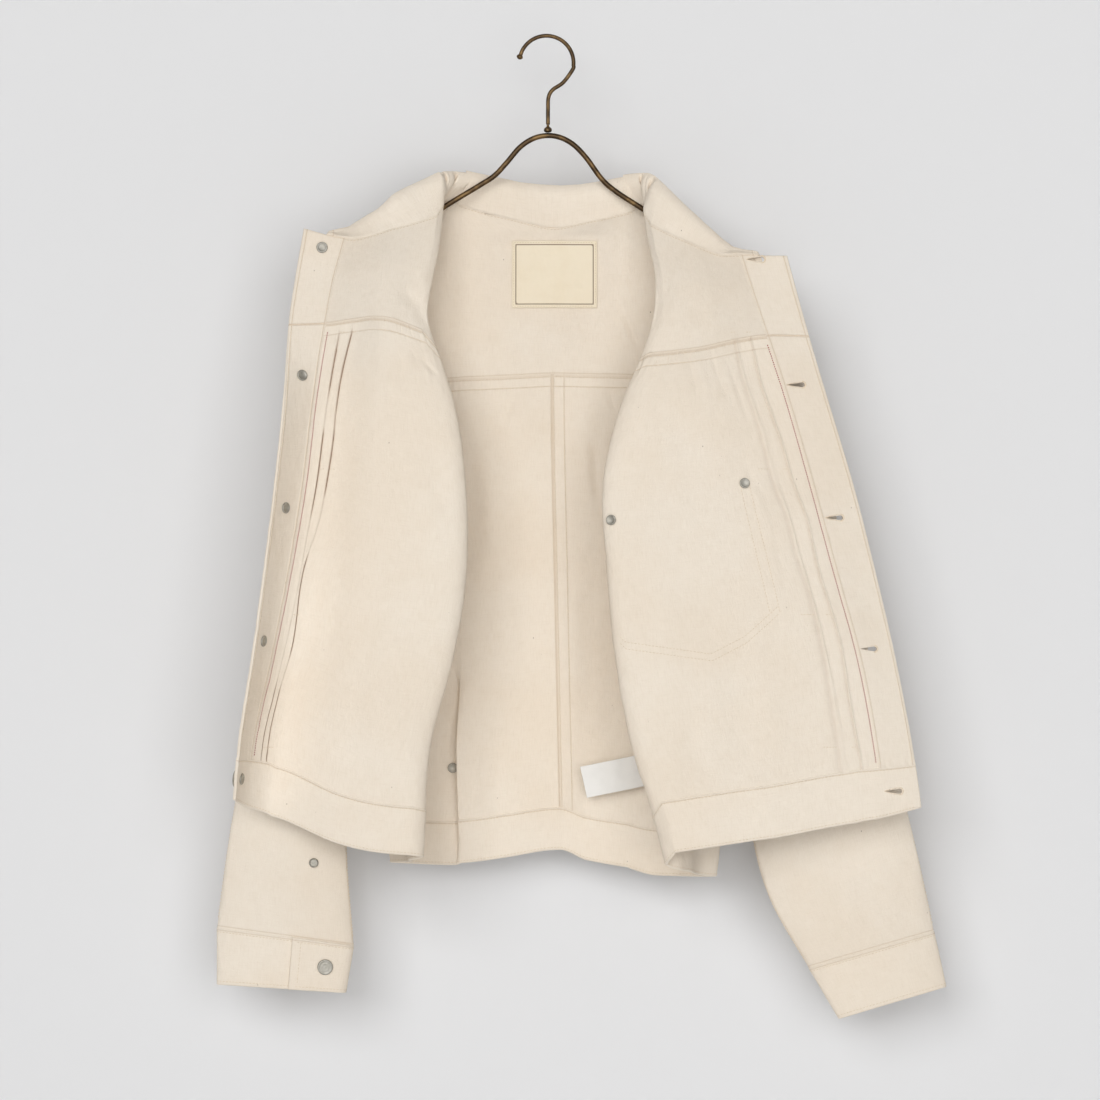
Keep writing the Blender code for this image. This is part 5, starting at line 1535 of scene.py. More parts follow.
def cuff(side, turn, share):
    """The middle of the cuff's cloth. turn runs on past a whole round, where its end laps over its start."""
    turn, share = np.broadcast_arrays(np.asarray(turn, float), np.asarray(share, float))
    top, bottom = (flat_ring(row, CUFF_COLUMNS, turn) for row in CUFFS[side])
    start = np.radians(LAP_START[side])
    past = np.clip((turn - (start + 2 * math.pi - 0.75)) / 0.65, 0, 1)
    lift = (CUFF + SEAM_GAP + 0.1) * (3 * past**2 - 2 * past**3)
    middle = top + (bottom - top) * share[..., None]
    middle[..., 1] += (-1.0 if side == "left" else 1.0) * lift
    return middle


# Creases of the sleeves, as seen from in front. The first two columns limit them to a span of turns in degrees.
SLEEVE_CREASES = {
    "left": (
        (190, 350, -268, 770, -262, 786, -258, 800, 4.0, -0.9),
        (190, 350, -240, 762, -236, 784, -236, 806, 5.0, 0.9),
        (190, 350, -212, 770, -210, 790, -208, 808, 3.5, -0.8),
        (190, 350, -282, 740, -276, 764, -272, 790, 5.0, 0.8),
        (190, 350, -250, 560, -230, 590, -205, 600, 9.0, -2.2),
        (190, 350, -240, 520, -222, 545, -195, 560, 8.0, 1.8),
        (190, 350, -222, 330, -206, 380, -192, 420, 9.0, -1.8),
        (10, 170, -255, 560, -232, 590, -200, 610, 9.0, 2.2),
        (10, 170, -246, 500, -224, 530, -192, 545, 8.0, -1.9),
        (10, 170, -222, 300, -206, 350, -192, 400, 9.0, 1.8),
        (10, 170, -264, 660, -240, 690, -205, 700, 8.0, -1.6),
    ),
    "right": (
        (190, 350, 300, 770, 306, 786, 312, 800, 4.0, -0.9),
        (190, 350, 272, 752, 276, 780, 282, 806, 5.0, 0.9),
        (190, 350, 262, 764, 264, 790, 268, 815, 3.0, -0.7),
        (190, 350, 328, 745, 332, 770, 336, 795, 5.0, 0.8),
        (190, 350, 285, 560, 250, 590, 215, 600, 9.0, -2.2),
        (190, 350, 270, 510, 240, 540, 205, 556, 8.0, 1.8),
        (190, 350, 236, 330, 214, 380, 200, 420, 9.0, -1.8),
        (10, 170, 290, 560, 252, 592, 215, 606, 9.0, 2.2),
        (10, 170, 270, 500, 240, 530, 205, 545, 8.0, -1.9),
        (10, 170, 236, 300, 216, 350, 200, 400, 9.0, 1.8),
        (10, 170, 312, 650, 276, 690, 230, 706, 8.0, -1.6),
    ),
}  # fmt: skip


def sleeve_surface(side, turn, share):
    """The sleeve's middle with its relief towards the viewer's side of each face, and its outward normal."""
    turn, share = np.broadcast_arrays(turn, share)

    def whole(a, b):
        return sleeve(side, a, b)

    middle = whole(turn, share)
    normal = surface_normal(whole, turn, share, 0.01, 0.002)
    axis = (sleeve(side, turn, share) + sleeve(side, turn + math.pi, share)) / 2
    normal = normal * np.sign(((middle - axis) * normal).sum(axis=-1, keepdims=True))
    x, drop = seen_x(middle), seen_drop(middle)
    run = turn * 60
    down = share * 600
    height = creases(SLEEVE_CREASES[side], np.degrees(turn) % 360, x, drop)
    height = height + 0.6 * waves(run + 0.3 * down, down * 0.4, 68.0, 21) + 0.3 * waves(down, run, 41.0, 22)
    height = height + 0.12 * waves(run, down, 16.0, 23)
    height = height + seam_puckers((1 - share) * 600, run, 8.0, 0.45, 24) + seam_puckers(share * 600, run, 8.0, 0.4, 25)
    seam = np.minimum(np.abs(turn % math.pi), math.pi - turn % math.pi) * 55
    height = height + seam_puckers(seam, down, 6.0, 0.3, 26)
    height = height * np.clip(share * 40, 0.15, 1) * np.clip((1.004 - share) * 60, 0.2, 1) * np.clip(seam / 8, 0.1, 1)
    return middle + normal * height[..., None], normal


# How far each half of a sleeve runs past its seams, in radians.
SLEEVE_MEET = 0.012


def make_sleeves():
    for side in ("left", "right"):
        for half, start in (("back", 0.0), ("front", math.pi)):
            turn = np.linspace(start - SLEEVE_MEET, start + math.pi + SLEEVE_MEET, 54)[:, None]
            share = np.linspace(0.0, 1.0025, 138)[None, :]
            middle, normal = sleeve_surface(side, turn, share)
            half_wall = normal * PANEL / 2
            turn, share = np.broadcast_arrays(turn, share)
            values = {
                "across": zigzag((1 - share) * 600, (1.0,)),
                "down": zigzag((turn % math.pi) * 55, (1.0, 8.0)),
                "slit": np.zeros(turn.shape),
            }
            made = shell(
                f"sleeve_{half}_cloth_{side}", middle - half_wall, middle + half_wall, "ecru_denim", 0.3, values,
                cloth_uv(middle),
            )  # fmt: skip
            replace(made, f"sleeve_{half}_{side}")


def cuff_surface(side, turn, share):
    turn, share = np.broadcast_arrays(turn, share)
    middle = cuff(side, turn, share)
    normal = grid_normals(middle)
    down = share * 52
    run = turn * 58
    height = 0.22 * waves(run, down, 31.0, 31) + 0.14 * waves(run, down * 1.5, 13.0, 32)
    height = height + seam_puckers(down - 3, run, 4.0, 0.22, 33) + seam_puckers(49 - down, run, 4.0, 0.22, 34)
    return middle + normal * height[..., None] * 0.6, normal


def make_cuffs():
    for side in ("left", "right"):
        begin = np.radians(LAP_START[side])
        turn = np.linspace(begin, begin + 2 * math.pi + np.radians(LAP), 190)[:, None]
        share = np.linspace(0.0, 1.0, 24)[None, :]
        middle, normal = cuff_surface(side, turn, share)
        turn, share = np.broadcast_arrays(turn, share)
        half = normal * CUFF / 2
        values = {
            "across": zigzag(share * 52, (2.6,)),
            "down": np.full(turn.shape, 9.0),
            "slit": np.zeros(turn.shape),
        }
        made = shell(f"cuff_cloth_{side}", middle - half, middle + half, "ecru_denim", 0.7, values, cloth_uv(middle))
        replace(made, f"cuff_{side}")


# ---------------------------------------------------------------- pocket, strap and labels


def station_at(x, drop, first, last):
    """The station between two others where the body lies at x in the tables."""
    x, drop = np.broadcast_arrays(np.asarray(x, float), np.asarray(drop, float))
    tries = np.linspace(first, last, 80)
    seen = seen_x(body(tries[:, None], drop.reshape(1, -1)))
    order = 1 if seen[-1, 0] > seen[0, 0] else -1
    found = [np.interp(value, line[::order], tries[::order]) for value, line in zip(x.ravel(), seen.T)]
    return np.reshape(found, x.shape)


def pocket_top(station):
    return np.interp(station, (POCKET_STATIONS[0], POCKET_STATIONS[-1]), POCKET_MOUTH)


def pocket_bottom(station):
    return np.interp(station, POCKET_POINT_AT, POCKET_POINT)


def make_pocket():
    """The chest pocket's patch, on the outside of the right-hand front, with a pointed bottom."""
    marks = (POCKET_STATIONS[0], POCKET_POINT_AT[1], POCKET_STATIONS[-1])
    lift = PANEL / 2 + POCKET_LIFT + POCKET / 2

    def edges(station, drop):
        return zigzag(drop - pocket_top(station), (2.0, 14.0))

    def sides(station, drop):
        return zigzag(pocket_bottom(station) - drop, (2.0, 8.0))

    made = body_shell(
        "pocket_cloth", marks, (36, 32), pocket_top, pocket_bottom, 62, POCKET, lift=lift,
        across=edges, down=sides, round_off=0.4, past=(0.0, 0.0),
    )  # fmt: skip
    replace(made, "chest_pocket")


def make_strap():
    """The back strap, stretched between its two rivets: a band with pointed ends that bows a little between folds."""
    at = np.linspace(-1, 1, 130)
    x = at * STRAP_REACH
    y = np.interp(at, (-1, 1), STRAP_Y)
    half = STRAP_HALF_WIDTH * np.interp(at, STRAP_AT, STRAP_TAPER)
    drop = STRAP_DROP + 2 * (at + 1)
    rows = np.linspace(-1, 1, 22)
    across = drop[:, None] + half[:, None] * rows[None, :]
    bow = 0.3 * waves(x[:, None], across, 38.0, 41) * (1 - at[:, None] ** 6)
    middle = placed(x[:, None], across, y[:, None] + bow)
    normal = grid_normals(middle)
    offset = half[:, None] * rows[None, :]
    values = {
        "across": zigzag(half[:, None] - np.abs(offset), (2.5,)),
        "down": np.broadcast_to(zigzag(STRAP_REACH - np.abs(x), (22.0,))[:, None], offset.shape),
        "slit": np.zeros(offset.shape),
    }
    made = shell(
        "strap_cloth", middle - normal * STRAP / 2, middle + normal * STRAP / 2, "ecru_denim", 0.5, values, cloth_uv(middle)
    )
    replace(made, "back_strap")


def make_labels():
    """The bare neck label, stitched flat under the collar, and the care label's looped tape."""
    x = np.linspace(*LABEL_X, 46)[:, None]
    drop = np.linspace(*LABEL_DROP, 38)[None, :]
    x, drop = np.broadcast_arrays(x, drop)
    station = station_at(x, drop, SIDE_BACK, LAST - SIDE_BACK)
    middle, normal, _ = dressed(station, drop, -(PANEL / 2 + LAID_GAP + LABEL / 2))
    edge = np.minimum(x - LABEL_X[0], LABEL_X[1] - x)
    end = np.minimum(drop - LABEL_DROP[0], LABEL_DROP[1] - drop)
    values = {"across": zigzag(np.minimum(edge, end), (3.4,)), "down": np.full(x.shape, 9.0)}
    half = normal * LABEL / 2
    made = shell("neck_label_cloth", middle - half, middle + half, "neck_label", 0.25, values, cloth_uv(middle))
    replace(made, "neck_label")
    free_x, free_drop = np.array(CARE_FREE).T
    sewn_x, sewn_drop = np.array(CARE_SEWN).T
    station = station_at(sewn_x, sewn_drop, CENTRE, LAST - SIDE_BACK)
    sewn, out, _ = dressed(station, sewn_drop, -(PANEL / 2 + LAID_GAP + CARE_LABEL / 2))
    free = placed(free_x, free_drop, np.full(2, CARE_FREE_Y))
    share = np.linspace(0, 1, 44)[:, None, None]
    width = np.linspace(0, 1, 18)[None, :, None]
    near = free[0] + (free[1] - free[0]) * width
    far = sewn[0] + (sewn[1] - sewn[0]) * width
    bow = 2.5 * np.sin(math.pi * share) + 0.25 * waves(share * 74, width * 28, 24.0, 43)
    middle = near + (far - near) * share + np.array((0.0, -1.0, 0.0)) * bow
    normal = grid_normals(middle)
    flat = np.broadcast_to(share[..., 0] * 74, middle.shape[:2])
    values = {"across": zigzag(flat, (70.0,)), "down": np.full(flat.shape, 9.0)}
    half = normal * CARE_LABEL / 2
    made = shell("care_label_cloth", middle - half, middle + half, "care_label", 0.25, values, cloth_uv(middle))
    replace(made, "care_label")


# ---------------------------------------------------------------- metal


def revolved(centre, out, profile, sides, first=0):
    """A round piece's points and faces: (distance along its axis, radius) pairs carried round it, with flat ends."""
    frame_of = np.array(Vector(out).normalized().to_track_quat("Z", "Y").to_matrix())
    turn = np.linspace(0, 2 * math.pi, sides, endpoint=False)
    along, radius = np.array(profile).T
    local = np.stack(
        np.broadcast_arrays(radius[:, None] * np.cos(turn), radius[:, None] * np.sin(turn), along[:, None]), axis=-1
    )
    points = np.asarray(centre) + local.reshape(-1, 3) @ frame_of.T
    i, k = np.meshgrid(np.arange(len(profile) - 1), np.arange(sides), indexing="ij")
    beside = (k + 1) % sides
    faces = np.stack([i * sides + k, i * sides + beside, (i + 1) * sides + beside, (i + 1) * sides + k], axis=-1)
    return points, faces.reshape(-1, 4) + first


def stud(name, nodes, centre, out, inside, outside, back_radius, head_radius):
    """A tack button or rivet: a dished back with a plain rim inside, a post, and a head with plain rings outside."""
    profile = (
        (-inside - 0.45, 0.02), (-inside - 0.45, 0.9), (-inside - 0.55, 0.26 * back_radius),
        (-inside - 0.62, 0.5 * back_radius), (-inside - 0.95, 0.68 * back_radius), (-inside - 1.3, 0.78 * back_radius),
        (-inside - 1.28, 0.88 * back_radius), (-inside - 0.95, 0.96 * back_radius), (-inside - 0.5, back_radius),
        (-inside, 0.97 * back_radius), (-inside, TACK_POST), (outside, TACK_POST), (outside, 0.94 * head_radius),
        (outside + 0.4, head_radius), (outside + 1.0, head_radius), (outside + 1.5, 0.93 * head_radius),
        (outside + 1.75, 0.84 * head_radius), (outside + 1.35, 0.72 * head_radius), (outside + 1.2, 0.62 * head_radius),
        (outside + 1.45, 0.5 * head_radius), (outside + 1.5, 0.4 * head_radius), (outside + 1.15, 0.28 * head_radius),
        (outside + 1.3, 0.14 * head_radius), (outside + 1.35, 0.02),
    )  # fmt: skip
    points, faces = revolved(centre, out, profile, 36)
    made = mesh_object(name, points, faces, "nickel")
    made.data.set_sharp_from_angle(angle=1.0)
    close_ends(made)
    replace(made, *nodes)


def close_ends(made):
    """Fills the small rings left at both ends, and turns every face outwards."""
    shape = bmesh.new()
    shape.from_mesh(made.data)
    bmesh.ops.holes_fill(shape, edges=[edge for edge in shape.edges if edge.is_boundary])
    bmesh.ops.recalc_face_normals(shape, faces=shape.faces)
    shape.to_mesh(made.data)
    shape.free()


def body_place(station, drop):
    """A point of the finished cloth's middle and the solid's outward normal there."""
    middle, normal, _ = dressed(np.array([station]), np.array([drop]))
    return middle[0], normal[0]


def make_studs():
    clear = SEAM_GAP
    for number, (station, drop) in enumerate(TACKS, 1):
        thickness = WAISTBAND if number == len(TACKS) else PLACKET
        centre, out = body_place(station, drop)
        stud(
            f"tack_metal_{number}", [f"tack_button_{number}"], centre, out, thickness / 2 + clear,
            thickness / 2 + TACK_SHANK, TACK_BACK_RADIUS, TACK_HEAD_RADIUS,
        )  # fmt: skip
    for side, station in STRAP_RIVETS.items():
        centre, _ = body_place(station, STRAP_DROP)
        strap_y = STRAP_Y[side == "right"]
        outside = strap_y - centre[1] + STRAP / 2 + clear
        stud(
            f"strap_rivet_metal_{side}", [f"strap_rivet_{side}"], centre, (0, 1, 0), PANEL / 2 + 4 * clear, outside,
            RIVET_RADIUS, RIVET_HEAD,
        )  # fmt: skip
    for number, (station, drop) in enumerate(POCKET_RIVETS, 1):
        centre, out = body_place(station, drop)
        stud(
            f"pocket_rivet_metal_{number}", [f"pocket_rivet_{number}"], centre, out, PANEL / 2 + 2 * clear,
            PANEL / 2 + POCKET_LIFT + POCKET + POCKET_RIVET_RISE, RIVET_RADIUS, RIVET_HEAD,
        )  # fmt: skip


def make_sleeve_studs():
    for side in ("left", "right"):
        turn, share = VENT_RIVET[side]
        at = np.array([[np.radians(turn)]]), np.array([[share]])
        middle, normal = sleeve_surface(side, *at)
        reach = PANEL / 2 + 2 * SEAM_GAP
        stud(
            f"vent_rivet_metal_{side}", [f"vent_rivet_{side}"], middle[0, 0], normal[0, 0], reach, reach,
            RIVET_RADIUS - 0.8, RIVET_RADIUS - 0.4,
        )  # fmt: skip
        turn, share = CUFF_BUTTON[side]

        def whole_cuff(a, b):
            return cuff(side, a, b)

        at = np.array([np.radians(turn)]), np.array([share])
        centre = whole_cuff(*at)[0]
        out = surface_normal(whole_cuff, *at, 0.02, 0.01)[0]
        out = out * np.sign(out[1]) * (-1 if side == "left" else 1)
        stud(
            f"cuff_button_metal_{side}", [f"cuff_button_{side}"], centre, out, CUFF / 2 + SEAM_GAP,
            CUFF / 2 + 2 * SEAM_GAP + 0.1 + CUFF, TACK_BACK_RADIUS, 7.0,
        )  # fmt: skip


# ---------------------------------------------------------------- hanger


def tube(name, points, radii, sides, finish):
    """A closed round bar: a ring about each point of its route, square to it, with rounded-off ends."""
    points = np.asarray(points, float)
    ahead = unit(np.gradient(points, axis=0))
    across = unit(np.cross(ahead, (0.0, 1.0, 0.0)))
    third = np.cross(ahead, across)
    turn = np.linspace(0, 2 * math.pi, sides, endpoint=False)
    rings = points[:, None] + np.asarray(radii)[:, None, None] * (
        across[:, None] * np.cos(turn)[None, :, None] + third[:, None] * np.sin(turn)[None, :, None]
    )
    i, j = np.meshgrid(np.arange(len(points) - 1), np.arange(sides), indexing="ij")
    beside = (j + 1) % sides
    faces = np.stack([i * sides + j, (i + 1) * sides + j, (i + 1) * sides + beside, i * sides + beside], axis=-1)
    made = mesh_object(name, rings.reshape(-1, 3), faces.reshape(-1, 4), finish)
    close_ends(made)
    return made


def make_hanger():
    """The wire hook with its ball end, the arms with rounded tips, and the turned bead that the hook swivels in."""
    bend = np.radians(np.linspace(*HOOK_BEND, 20))
    round_x = HOOK_X + HOOK_RADIUS * np.cos(bend)
    round_drop = HOOK_RADIUS - HOOK_WIRE - HOOK_RADIUS * np.sin(bend)
    route = np.array([*zip(round_x, round_drop), *HOOK_SHAFT])
    steps = np.linspace(0, len(route) - 1, 190)
    wire = placed(smooth(range(len(route)), route[:, 0], steps), smooth(range(len(route)), route[:, 1], steps), 0 * steps)
    ahead = unit(wire[0] - wire[1])
    reach = np.interp(np.linspace(0, 4, 14), range(5), BALL_REACH)
    ball = wire[0] + ahead * reach[:, None]
    radii = np.concatenate([smooth(range(5), BALL_RADII, np.linspace(0, 4, 14)), np.full(len(wire), HOOK_WIRE)])
    replace(tube("hook_wire", np.vstack([ball, wire]), radii, 24, "bronze"), "hanger_hook")
    arm_x, arm_drop = np.array(ARM_ROUTE).T
    steps = np.linspace(0, len(ARM_ROUTE) - 1, 260)
    knots = range(len(arm_x))
    arm = placed(smooth(knots, arm_x, steps), smooth(knots, arm_drop, steps), 0 * steps)
    radii = np.full(len(steps), ARM_WIRE)
    radii[:4] = radii[-4:][::-1] = ARM_WIRE * np.array((0.55, 0.75, 0.9, 0.98))
    replace(tube("arm_wire", arm, radii, 22, "bronze"), "hanger_arms")
    bead_drop = ARM_APEX - ARM_WIRE - SEAM_GAP
    at, radius = np.array(BEAD).T
    fine = np.linspace(at[0], at[-1], 26)
    points, faces = revolved(placed(NECK_X, bead_drop, 0.0), (0, 0, 1), np.stack([fine, smooth(at, radius, fine)], 1), 32)
    made = mesh_object("bead_metal", points, faces, "bronze")
    close_ends(made)
    replace(made, "hanger_bead")


# ---------------------------------------------------------------- sewing


STITCH_SIDES = 4
STITCH_ALONG = np.array((0.0, 0.2, 0.8, 1.0))
STITCH_RADII = np.array((0.15, 0.95, 0.95, 0.15))
STITCH_RISE = np.array((-0.9, 0.35, 0.35, -0.9))
STITCH_RINGS = len(STITCH_ALONG)


def sewn_rows(name, rows, pitch, length, radius, finish):
    """Stitches along many rows, as one piece: each is a small spindle that dips into the cloth at both ends.

    rows holds (points, normals) pairs. Each row is measured along its length, and a stitch starts every pitch."""
    starts, ends, normals = [], [], []
    for points, normal in rows:
        run = np.append(0, np.cumsum(np.linalg.norm(np.diff(points, axis=0), axis=1)))
        count = int(run[-1] // pitch)
        if count < 1:
            continue
        begin = (np.arange(count) + 0.5 * (1 - length / pitch)) * pitch
        pick = [np.stack([np.interp(begin + more, run, points[:, axis]) for axis in range(3)], 1) for more in (0, length)]
        starts.append(pick[0])
        ends.append(pick[1])
        normals.append(np.stack([np.interp(begin, run, normal[:, axis]) for axis in range(3)], 1))
    start, end, up = (np.vstack(part) for part in (starts, ends, normals))
    up = unit(up)
    side = unit(np.cross(end - start, up))
    turn = np.linspace(0, 2 * math.pi, STITCH_SIDES, endpoint=False)
    middle = start[:, None] + (end - start)[:, None] * STITCH_ALONG[:, None] + up[:, None] * (STITCH_RISE * radius)[:, None]
    ring = side[:, None, None] * np.cos(turn)[:, None] + up[:, None, None] * np.sin(turn)[:, None]
    points = middle[:, :, None] + ring * (STITCH_RADII * radius)[:, None, None]
    per = STITCH_RINGS * STITCH_SIDES
    i, j = np.meshgrid(np.arange(STITCH_RINGS - 1), np.arange(STITCH_SIDES), indexing="ij")
    beside = (j + 1) % STITCH_SIDES
    one = np.stack(
        [i * STITCH_SIDES + j, (i + 1) * STITCH_SIDES + j, (i + 1) * STITCH_SIDES + beside, i * STITCH_SIDES + beside], -1
    ).reshape(-1, 4)
    fan = np.array([(0, k + 1, k, 0) for k in range(1, STITCH_SIDES - 1)])[:, :3]
    last = (STITCH_RINGS - 1) * STITCH_SIDES
    caps = np.vstack([fan, np.array([(last, last + k, last + k + 1) for k in range(1, STITCH_SIDES - 1)])])
    halves = np.vstack([one[:, :3], one[:, [0, 2, 3]], caps])
    first = np.arange(len(start))[:, None, None] * per
    made = mesh_object(name, points.reshape(-1, 3), (halves[None] + first).reshape(-1, 3), finish)
    shape = bmesh.new()
    shape.from_mesh(made.data)
    bmesh.ops.recalc_face_normals(shape, faces=shape.faces)
    shape.to_mesh(made.data)
    shape.free()
    return made


def body_rows(stations, drops, thickness, lift=0.0, pleated=False, faces=(-1, 1)):
    """One row of sewing on the body, on the inside (-1), the outside (1) or both."""
    stations, drops = np.broadcast_arrays(np.asarray(stations, float), np.asarray(drops, float))
    middle, normal, _ = dressed(stations, drops, lift, pleated)
    return [(middle + face * normal * (thickness / 2 + 0.08), face * normal) for face in faces]


def along_line(first, last, line, offset, thickness, steps=160, **more):
    """Sewing beside a seam line, between two stations."""
    stations = np.linspace(first, last, steps)
    return body_rows(stations, line(stations) + offset, thickness, **more)


def down_line(station, top, bottom, thickness, steps=120, **more):
    """Sewing down the cloth at one station, between two seam lines."""
    at = np.full(steps, float(station))
    share = np.linspace(0, 1, steps)
    return body_rows(at, top(at) + (bottom(at) - top(at)) * share, thickness, **more)


def make_sewing():
    """All the cotton sewing that shows, in rows on the finished cloth, and the selvedge's red thread."""
    size = bpy.context.scene.jacket_sewing
    rows = []
    for at, inner in ((0, 1), (LAST, -1)):
        for top, bottom in ((collar_line, yoke_line), (yoke_line, waist_line)):
            rows += down_line(at + inner * 0.09, top, bottom, PLACKET)
            rows += down_line(at + inner * 0.94, top, bottom, PLACKET)
        start = at + inner * (SELVEDGE + 0.1)
        rows += along_line(start, at + inner * (SIDE - 1.0), yoke_line, 2.6, PANEL, steps=260)
        rows += along_line(at + inner * FRONT, at + inner * (SIDE - 1.0), yoke_line, 11.2, PANEL, steps=220)
        rows += along_line(start, at + inner * (SIDE - 1.0), yoke_line, -1.6, PANEL, steps=260, faces=(1,))
    back = (SIDE + 1.0, LAST - SIDE - 1.0)
    for offset in (2.6, 11.2):
        rows += along_line(back[0], CENTRE - 0.02, yoke_line, offset, PANEL, steps=260)
        rows += along_line(CENTRE + 0.02, back[1], yoke_line, offset, PANEL, steps=260)
    rows += along_line(*back, yoke_line, -1.6, PANEL, steps=500, faces=(1,))
    drops = np.linspace(306, 688, 160)
    for offset in (2.2, 11.5):
        x = column(CENTRE_PLAN, CENTRE_COLUMNS, "x", drops) + offset
        rows += body_rows(station_at(x, drops, CENTRE - 0.5, CENTRE + 2), drops, PANEL)
    ends = (0.1, LAST - 0.1)
    rows += along_line(*ends, waist_line, 2.6, WAISTBAND, steps=900)
    rows += along_line(*ends, hem_line, -2.6, WAISTBAND, steps=900)
    rows += along_line(0.6, LAST - 0.6, collar_line, 1.6, PANEL, steps=700, faces=(-1,))
    cotton = sewn_rows("sewing_body", rows, size.pitch * 1000, size.length * 1000, size.thickness * 500, "cotton_thread")
    red = []
    for at, inner in ((0, 1), (LAST, -1)):
        stations = np.full(200, float(SELVEDGE + (0.1 if at == 0 else 0.06)))
        drops = np.linspace(yoke_line(at + inner * stations[0]) + 8, waist_line(at + inner * stations[0]) - 3, 200)
        red += body_rows(at + inner * stations, drops, PANEL, faces=(-1,))
    selvedge = sewn_rows("selvedge_thread", red, 2.0, 1.5, 0.42, "red_thread")
    marks = []
    for at, inner, side in ((0, 1, "left"), (LAST, -1, "right")):
        for share in (0.0, 0.32, 0.66, 0.97):
            for number in (0, 1):
                drop = 262 + share * 385
                line = np.interp(drop, PLEAT_DROPS, PLEATS_AT[side][number])
                stations = at + inner * np.linspace(line + 0.05, line + 0.26, 12)
                marks += body_rows(stations, np.full(12, drop + 3.0), PANEL, pleated=True)
    cross = sewn_rows("sewing_pleats", marks, 2.6, 2.1, 0.27, "cotton_thread")
    pocket = []
    lift = PANEL / 2 + POCKET_LIFT + POCKET / 2
    for inset in (2.2, 8.4):
        stations = np.linspace(POCKET_STATIONS[0] + 0.05, POCKET_STATIONS[-1] - 0.05, 160)
        pocket += body_rows(stations, pocket_bottom(stations) - inset, PANEL, faces=(-1,))
        pocket += body_rows(stations, pocket_bottom(stations) - inset, POCKET, lift=lift, faces=(1,))
        for station in (POCKET_STATIONS[-1] - 0.05 - (inset - 2.2) * 0.022,):
            drops = np.linspace(pocket_top(np.array(station)) + 3, pocket_bottom(np.array(station)) - inset, 90)
            pocket += body_rows(np.full(90, station), drops, PANEL, faces=(-1,))
            pocket += body_rows(np.full(90, station), drops, POCKET, lift=lift, faces=(1,))
    stations = np.linspace(POCKET_STATIONS[0] + 0.04, POCKET_STATIONS[-1] - 0.04, 160)
    pocket += body_rows(stations, pocket_top(stations) + 13, POCKET, lift=lift, faces=(1,))
    patch = sewn_rows("sewing_pocket", pocket, 3.1, 2.4, 0.24, "cotton_thread")


